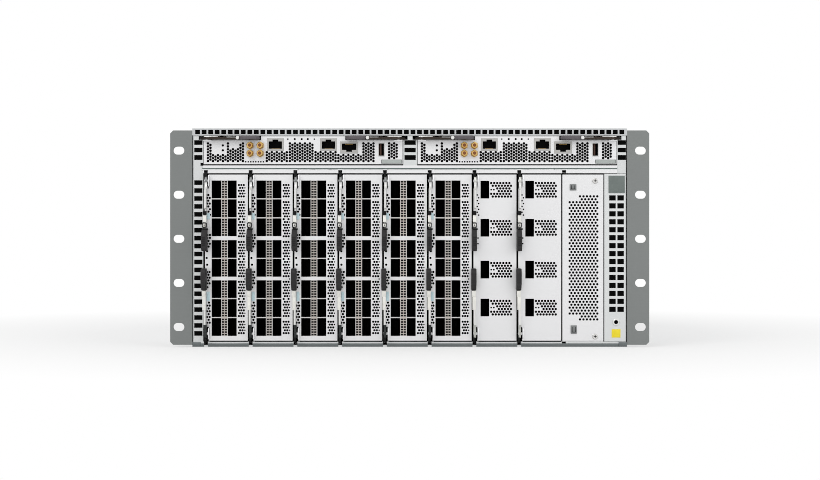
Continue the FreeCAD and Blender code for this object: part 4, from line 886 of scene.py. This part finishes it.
# ---- Control-card levers -----------------------------------------------------
# Each control card has a flat steel lever at both ends, lying along its top
# edge. A moulded grip points to the card's middle, and a polished pin with its
# spring clip shows beside it.

LEVER_LOW = 208.6
LEVER_HIGH = 211.8
GRIP_START = 33.0
GRIP_END = 52.5


def flat_profile(corners, z, bevel=0.0, segments=1):
    """A flat part with its outline in X and Y, lying between two heights."""
    return flat_part([(x, y, z[0]) for x, y in corners], (0, 0, z[1] - z[0]), bevel, segments)


pivot_x = CONTROL_LEFT + 4.1
flat_arm = flat_profile([(pivot_x + x, y) for x, y in (
    (GRIP_START, -291), (3.5, -291), (1, -289.5), (-5.8, -288.4), (-7, -290.6), (-3.3, -294.5), (-1.5, -296.5),
    (2, -297), (6, -299), (GRIP_START, -299))], (LEVER_LOW, LEVER_LOW + 2.2), 0.2)
bar(flat_arm, (pivot_x + 19, pivot_x + 22), (-299.2, -292), (LEVER_LOW + 1.4, LEVER_HIGH - 0.6), 0.3)
flat_spring = bmesh.new()
for k in range(9):
    x = pivot_x + 12 + 1.7 * k
    z = (LEVER_LOW + (0.4 if k % 2 else 1.5), LEVER_HIGH - (1.2 if k % 3 else 0))
    bar(flat_spring, (x, x + 0.9), (-299.4, -292.6), z, 0.2)
clip = bmesh.new()
bar(clip, (pivot_x - 3.1, pivot_x + 11), (-297.2, -296.2), (LEVER_HIGH - 0.7, LEVER_HIGH), 0.2)
stud(clip, (pivot_x + 31, -300.1, 210.2), (1.9, 1.7), 2.4)
bar(clip, (pivot_x + 20, pivot_x + 29), (-299.8, -298.8), (LEVER_LOW + 1.9, LEVER_LOW + 2.4), 0.1)
flat_grip = flat_profile([(pivot_x + x, y) for x, y in (
    (GRIP_START, -290.6), (GRIP_END - 1, -290.6), (GRIP_END, -292), (GRIP_END, -301), (GRIP_END - 3, -304),
    (GRIP_START + 3, -304), (GRIP_START, -301))], (208.5, 211.9), 0.5, 2)

flat_spring_steel = plated_steel("dark_spring_steel", "3A332E", 0.4)
flat_grip_plastic = moulded_plastic("grey_moulded_nylon", "565155", 0.5)
for card, shift in CONTROL_CARDS:
    for side in ("left", "right"):
        lever = "%s_%s" % (card, side)
        parts = [mirrored(part, 0, MIDDLE) if side == "right" else part
                 for part in (flat_arm, flat_spring, clip, flat_grip)]
        fitted(lever, (
            ("arm", parts[0], flat_spring_steel, "card_plate", lever + "_ejector"),
            ("spring", parts[1], flat_spring_steel, "ear_metal"), ("clip", parts[2], lever_steel, "card_plate"),
            ("grip", parts[3], flat_grip_plastic, "lever")), shift, lever + "_lever")

# ---- Filler panel ------------------------------------------------------------
# A blank sheet closes the slot beside the last card. A field of round airholes
# is punched down its middle, and two captive screws and two slide latches hold it.

FILLER_LEFT = 153.9
FILLER_RIGHT = 195.1
FILLER_ROWS = 43
FILLER_PITCH = 3.48

filler_holes = []
for row in range(FILLER_ROWS):
    z = 27.6 + 2.952 * row
    edge_row = row < 2 or row > FILLER_ROWS - 3
    for c in range(3 if edge_row else 0, 9 - row % 2):
        filler_holes.append((161.2 + FILLER_PITCH * (c + 0.5 * (row % 2)), z, 1.26))
filler_sheet = punched_sheet(rectangle((FILLER_LEFT, FILLER_RIGHT), (CARD_BOTTOM, CARD_TOP)), [], filler_holes)
bars(filler_sheet, (PLATE_BACK, PLATE_BACK + 12), (
    ((FILLER_LEFT, FILLER_LEFT + 1.2), (CARD_BOTTOM + 1.5, CARD_TOP - 1.5)),
    ((FILLER_RIGHT - 1.2, FILLER_RIGHT), (CARD_BOTTOM + 1.5, CARD_TOP - 1.5)),
    ((FILLER_LEFT, FILLER_RIGHT), (5.2, 6.6))))
# Black sheet paints shade behind the airholes and in the joints at the sheet's sides and top.
filler_shade_strips = bmesh.new()
bar(filler_shade_strips, (FILLER_LEFT + 4.5, FILLER_RIGHT - 3.5), SHADE_BACKING_DEPTH, (25, 155))
bars(filler_shade_strips, (PLATE_FRONT + 0.4, PLATE_BACK + 8), (((FILLER_LEFT - 0.5, FILLER_LEFT), (CARD_BOTTOM, CARD_TOP)),
                                                         ((FILLER_RIGHT, FILLER_RIGHT + 0.6), (CARD_BOTTOM, CARD_TOP))))
bar(filler_shade_strips, (FILLER_LEFT, FILLER_RIGHT), (PLATE_FRONT + 0.6, PLATE_BACK + 5), (CARD_TOP, CARD_TOP + 1.4))


def captive_screw(bm, x, y, z, radius=3.0, facing=-1):
    """A tapered pan head on a face that looks to the front, or to the back with facing 1."""
    turn = Matrix.Rotation(math.radians(-90 * facing), 4, "X")
    stud(bm, (x, y + facing * 0.7, z), (radius, radius * 0.82), 1.4, turn)


SCREW_X = FILLER_RIGHT - 8.3
screw_heads = bmesh.new()
# Black bars paint the shade in each screw head's crossed recess and in the gap round each latch.
recess_shade = bmesh.new()
for z in (CARD_TOP - 6.3, CARD_BOTTOM + 4.2):
    captive_screw(screw_heads, SCREW_X, PLATE_FRONT, z)
    for wide, high in ((1.5, 0.35), (0.35, 1.5)):
        bar(recess_shade, (SCREW_X - wide, SCREW_X + wide), (PLATE_FRONT - 1.45, PLATE_FRONT - 0.6), (z - high, z + high))
latches = bmesh.new()
bars(latches, (PLATE_FRONT - 1.2, PLATE_FRONT), (((FILLER_LEFT + 7.4, FILLER_LEFT + 14), (157.6, 163.9)),
                                                 ((FILLER_LEFT + 8.3, FILLER_LEFT + 14.4), (13.2, 21.6))), 0.3)
for x0, x1, z0, z1 in ((FILLER_LEFT + 8.8, FILLER_LEFT + 12.6, 158.8, 162.6),
                       (FILLER_LEFT + 9.5, FILLER_LEFT + 13.2, 14.6, 20.2)):
    bars(recess_shade, (PLATE_FRONT - 1.3, PLATE_FRONT - 1.0), (((x0, x1), (z0, z0 + 0.5)), ((x0, x0 + 0.5), (z0, z1)),
                                                            ((x1 - 0.5, x1), (z0, z1))))
fitted("filler", (
    ("sheet", filler_sheet, bright_sheet, "filler_plate", "filler_panel"), ("shade_strips", filler_shade_strips, black_shade_sheet, "lever"),
    ("screws", screw_heads, cage_steel, "filler_plate"), ("latches", latches, hub_steel, "filler_plate"),
    ("recess_shade", recess_shade, black_nylon, "lever")))

# ---- Intake panel fittings ---------------------------------------------------
# A bare grey identification plate is bonded above the vents. A plated bushing for
# a wrist strap is pressed in below them, over a bare yellow plate.

grey_plate = moulded_plastic("grey_printed_polyester", "6C7572", 0.5)
yellow_plate = moulded_plastic("yellow_printed_polyester", "F4DC28", 0.5)
finished("name_plate_face", block((200.3, 216.7), (-290.2, -289.8), (155.0, 172.4), 0.15), grey_plate, "chassis")
finished("strap_plate", block((203.5, 212.4), (-289.7, PLATE_FRONT), (9.3, 17.7), 0.1), yellow_plate, "chassis")
bushing = bmesh.new()
for radius, y in ((3.4, PLATE_FRONT), (3.4, PLATE_FRONT - 0.9), (2.9, PLATE_FRONT - 1.3), (2.1, PLATE_FRONT - 1.3),
                  (2.0, PLATE_FRONT + 4)):
    ring(bushing, (207.9, y, 24.9), radius, 32)
bmesh.ops.bridge_loops(bushing, edges=bushing.edges[:])
bmesh.ops.recalc_face_normals(bushing, faces=bushing.faces[:])
finished("strap_bushing", bushing, lever_steel, "chassis")

# ---- Shelf and sill trim -----------------------------------------------------
# The shelf's nose is rolled, with two bright beads; a grey-green strip in its groove paints the groove's shade, and a
# duller strip just below paints a lighter shade. The sill below the cards is a darker folded rail, cut away where each
# lever's claw hooks behind it.

groove_shade_paint = plated_steel("grey_green_painted_groove_shade", "5F6C69", 0.55)
rail_steel = plated_steel("dark_grey_passivated_steel", "6C7172", 0.5)
NOSE = (-209, 209)
RAIL_END = 219.0
# A grey-green strip paints the groove's shade; a duller strip below it paints a lighter shade.
finished("shelf_nose_groove_shade", block(NOSE, (-289.55, -289.3), (179.2, 180.35)), groove_shade_paint, "chassis")
finished("shelf_nose_band_shade", block(NOSE, (-290.0, -289.3), (177.9, 179.2), 0.1), frame_sheet, "chassis")
rail = bmesh.new()
claw_gaps = [(shift[0] + 0.05, shift[0] + 4.05) for card, shift in LINE_CARDS]
for start, end in zip([-RAIL_END] + [gap[1] for gap in claw_gaps], [gap[0] for gap in claw_gaps] + [RAIL_END]):
    bar(rail, (start, end), (-289.3, -288.7), (0.05, 3.4), 0.15)
bars(rail, (-289.8, -288.7), (((-RAIL_END, -210.6), (0.05, 4.6)), ((210.6, RAIL_END), (0.05, 4.6))), 0.2)
finished("sill_rail", rail, rail_steel, "chassis")

# Black sheets lie behind the vents of the posts, the intake and the lip, and in the joints beside the ears and at the
# control card's corner, painting the shade there.
screens = bmesh.new()
bars(screens, (-288.5, -287.9), (((-217.9, -208.9), (186, 208)), ((209.1, 217.9), (186, 208)),
                                 ((-217.9, -208.6), (9, 172)), ((-5.9, 6.7), (186, 208))))
bar(screens, (198.5, 217.2), (-289.1, -287), (33.5, 153.5))
bar(screens, (-217.5, 217.5), (-289.6, -288.9), (214, 219.3))
bars(screens, (-289.2, -288.7), (((-218.9, -218.2), (4.7, 212.8)), ((218.2, 218.9), (4.7, 212.8))))
bar(screens, (-210.8, -207.8), (-289.3, -288.7), (182.5, 185.3))
finished("vent_and_gap_shade_sheets", screens, black_shade_sheet, "chassis")

# ---- Side fasteners ----------------------------------------------------------
# Each ear is held to the side wall by two columns of flat steel screws, and the
# cover and the tray are screwed together along the top and bottom of both walls.


def side_screw(bm, slots, x, y, z, radius):
    """A low head on a side wall, with its crossed recess as thin black bars that paint the shade in it."""
    out = math.copysign(1.0, x)
    turn = Matrix.Rotation(math.radians(90) * out, 4, "Y")
    stud(bm, (x + out * 0.5, y, z), (radius, radius * 0.78), 1.0, turn, 20)
    face = sorted((x + out * 0.7, x + out * 1.06))
    bar(slots, face, (y - radius * 0.5, y + radius * 0.5), (z - 0.3, z + 0.3))
    bar(slots, face, (y - 0.3, y + 0.3), (z - radius * 0.5, z + radius * 0.5))


side_heads = bmesh.new()
side_recess_shade = bmesh.new()
for side in (-1, 1):
    for z in (20, 65, 110, 155, 200):
        for y in (-272, -236):
            side_screw(side_heads, side_recess_shade, side * 221.0, y, z, 4.0)
    for z in (9.0, 211.0):
        for k in range(7):
            side_screw(side_heads, side_recess_shade, side * 219.0, -190 + 76 * k, z, 3.0)
finished("side_screws", side_heads, cage_steel, "chassis")
finished("side_screw_recess_shade", side_recess_shade, black_nylon, "chassis")

# ---- Fan trays ---------------------------------------------------------------
# Two trays fill the upper back. Each is a folded steel housing with two axial
# fans behind chromed wire guards, held by captive screws at its corners.

FAN_INNER = 1.4
FAN_OUTER = 216.8
FAN_BOTTOM = 47.6
FAN_TOP = 211.0
FAN_MIDDLE = (FAN_BOTTOM + FAN_TOP) / 2
FAN_SPACING = 52.0
BACK = 290.0

tray_sheet = plated_steel("zinc_plated_tray_steel", "BFC3C6", 0.45)
chrome_wire = plated_steel("chromed_steel_wire", "D8DADC", 0.22)
for name in ("fan_tray_1", "fan_tray_2"):
    dress(name, tray_sheet)


def wire_ring(bm, x, y, z, radius, wire):
    """A ring of round wire standing in the plane of the back."""
    start = Matrix.Translation((x + radius, y, z))
    made = bmesh.ops.create_circle(bm, cap_ends=False, radius=wire, segments=6, matrix=start)
    edges = list({edge for corner in made["verts"] for edge in corner.link_edges})
    bmesh.ops.spin(bm, geom=made["verts"] + edges, cent=(x, y, z), axis=(0, 1, 0), angle=math.radians(360), steps=40,
                   use_merge=True)


SPOKES = 4
for number, side in ((1, -1), (2, 1)):
    centre = side * (FAN_INNER + FAN_OUTER) / 2
    wires = bmesh.new()
    heads = bmesh.new()
    for x in (centre - FAN_SPACING, centre + FAN_SPACING):
        for radius in (15.5, 24, 32.5, 41, 49.5):
            wire_ring(wires, x, BACK + 1.4, FAN_MIDDLE, radius, 0.8)
        for k in range(SPOKES):
            turn = Matrix.Translation((x, BACK + 2.6, FAN_MIDDLE)) @ Matrix.Rotation(math.radians(45 + 90 * k), 4, "Y")
            bmesh.ops.create_cone(wires, cap_ends=True, segments=6, radius1=0.8, radius2=0.8, depth=42,
                                  matrix=turn @ Matrix.Translation((0, 0, 36)))
            foot = turn @ Vector((0, 0, 57))
            captive_screw(heads, foot.x, BACK, foot.z, 2.6, 1)
    for x in (centre - 100, centre + 100):
        for z in (FAN_BOTTOM + 7, FAN_TOP - 7):
            captive_screw(heads, x, BACK, z, 4.2, 1)
    bmesh.ops.recalc_face_normals(wires, faces=wires.faces[:])
    fitted("fan_tray_%d" % number, (("guards", wires, chrome_wire, "fan_metal"),
                                    ("screws", heads, cage_steel, "fan_metal")))

# ---- Fan rotors --------------------------------------------------------------
# Each rotor is one black nylon moulding: a domed hub with seven blades whose
# pitch eases from root to tip, pressed on the motor's steel sleeve.

HUB_RADIUS = 19.0
BLADE_TIP = 46.4
BLADES = 7


def rotor_mesh():
    bm = bmesh.new()
    for radius, y in ((3.2, 241.2), (HUB_RADIUS - 2, 241.2), (HUB_RADIUS, 243.2), (HUB_RADIUS, 266.8), (3.2, 266.8)):
        ring(bm, (0, y, 0), radius, 40)
    bmesh.ops.bridge_loops(bm, edges=bm.edges[:], use_cyclic=True)
    for k in range(BLADES):
        blade = bmesh.new()
        made = bmesh.ops.create_grid(blade, x_segments=8, y_segments=6, size=0.5)
        for corner in made["verts"]:
            along = corner.co.x + 0.5
            across = corner.co.y
            radius = HUB_RADIUS - 1.5 + along * (BLADE_TIP - HUB_RADIUS + 1.5)
            pitch = math.radians(56 - 20 * along)
            chord = 21 + 6 * along
            camber = 2.2 * (1 - 4 * across * across)
            swing = across * chord * math.cos(pitch) + 5 * along * along
            rise = across * chord * math.sin(pitch) + camber
            angle = swing / radius
            corner.co = (radius * math.cos(angle), 254 + rise * 0.8, radius * math.sin(angle))
        bmesh.ops.recalc_face_normals(blade, faces=blade.faces[:])
        bmesh.ops.solidify(blade, geom=blade.faces[:], thickness=1.6)
        turn = Matrix.Rotation(math.radians(360 / BLADES * k), 4, "Y")
        bmesh.ops.transform(blade, matrix=turn, verts=blade.verts)
        bm = joined(bm, blade)
    bmesh.ops.recalc_face_normals(bm, faces=bm.faces[:])
    return bm


rotor = rotor_mesh()
for number, side in ((1, -1), (2, 1)):
    centre = side * (FAN_INNER + FAN_OUTER) / 2
    for hand, x in (("left", centre - FAN_SPACING), ("right", centre + FAN_SPACING)):
        tray = "fan_tray_%d" % number
        finished("%s_%s_blades" % (tray, hand), rotor, black_nylon, "%s_%s_fan" % (tray, hand),
                 (x, 0, FAN_MIDDLE), ["%s_%s_rotor" % (tray, hand)])

# ---- Power supplies ----------------------------------------------------------
# Four supplies slide in below the fans. Each is a plated case whose back has a
# black inlet, a honeycomb of exhaust holes, a wire handle and a release tab.

SUPPLY_PITCH = 108.0
SUPPLY_WIDTH = 105.0
SUPPLY_BOTTOM = 1.2
SUPPLY_HEIGHT = 42.6

left = (SUPPLY_PITCH - SUPPLY_WIDTH) / 2
right = left + SUPPLY_WIDTH
low = SUPPLY_BOTTOM
high = low + SUPPLY_HEIGHT
exhaust = [(left + 43.5 + 4.0 * c, low + 4.6 + 4.0 * r + (c % 2) * 2.0, 1.7) for c in range(10) for r in range(9)]
exhaust = [hole for hole in exhaust if hole[1] < high - 2.6]
supply_back = punched_sheet(rectangle((left, right), (low, high)), [rectangle((left + 8, left + 36), (11.2, 31.2))],
                            exhaust, BACK - 1.2, 1.2)
supply_case = bmesh.new()
box_walls(supply_case, (left, right), (48, BACK - 1.2), (low, high), 1)
bar(supply_case, (left + 1, right - 1), (48, 49), (low + 1, high - 1))
supply_case = joined(supply_case, supply_back)

inlet = bmesh.new()
box_walls(inlet, (left + 8.3, left + 35.7), (BACK - 13, BACK + 0.6), (11.5, 30.9), 2, 0.3)
bar(inlet, (left + 8.3, left + 35.7), (BACK - 14, BACK - 13), (11.5, 30.9))
bar(inlet, (left + 41.6, left + 82.5), (BACK - 24, BACK - 23), (low + 2, high - 2))
blades = bmesh.new()
for x, z in ((left + 22, 24.6), (left + 15.6, 18.4), (left + 28.4, 18.4)):
    bar(blades, (x - 1.0, x + 1.0), (BACK - 13, BACK - 4), (z - 2.4, z + 2.4), 0.3)
handle = side_profile([
    (BACK - 0.5, low + 5), (BACK + 17.8, low + 5), (BACK + 17.8, low + 37), (BACK - 0.5, low + 37),
    (BACK - 0.5, low + 33), (BACK + 14, low + 33), (BACK + 14, low + 9), (BACK - 0.5, low + 9),
], (right - 12, right - 8), 0.9, 3)
tab = bmesh.new()
bar(tab, (right - 24, right - 16), (BACK - 0.5, BACK + 7.8), (low + 14, low + 28), 0.9)
for k in range(4):
    bar(tab, (right - 23.4, right - 16.6), (BACK + 1.4 + 1.5 * k, BACK + 2.1 + 1.5 * k), (low + 27.6, low + 28.5), 0.1)

case_steel = plated_steel("zinc_plated_case_steel", "C4C8CA", 0.42)
handle_plastic = moulded_plastic("black_moulded_handle_nylon", "1C1C1E", 0.45)
tab_plastic = moulded_plastic("dark_red_moulded_nylon", "8A2B22", 0.45)
for n in range(4):
    supply = "power_supply_%d" % (n + 1)
    fitted(supply, (
        ("case", supply_case, case_steel, "psu_case", supply), ("inlet", inlet, black_nylon, "lever"),
        ("inlet_blades", blades, lever_steel, "psu_case"), ("handle", handle, handle_plastic, "lever"),
        ("release", tab, tab_plastic, "lever")), ((n - 2) * SUPPLY_PITCH, 0, 0))

# ---- Midplane ----------------------------------------------------------------
# A thick green laminate board crosses the body behind the cards, with rows of
# press-fit sockets facing them. It shows only where a card is drawn out.

dress("midplane", green_laminate)
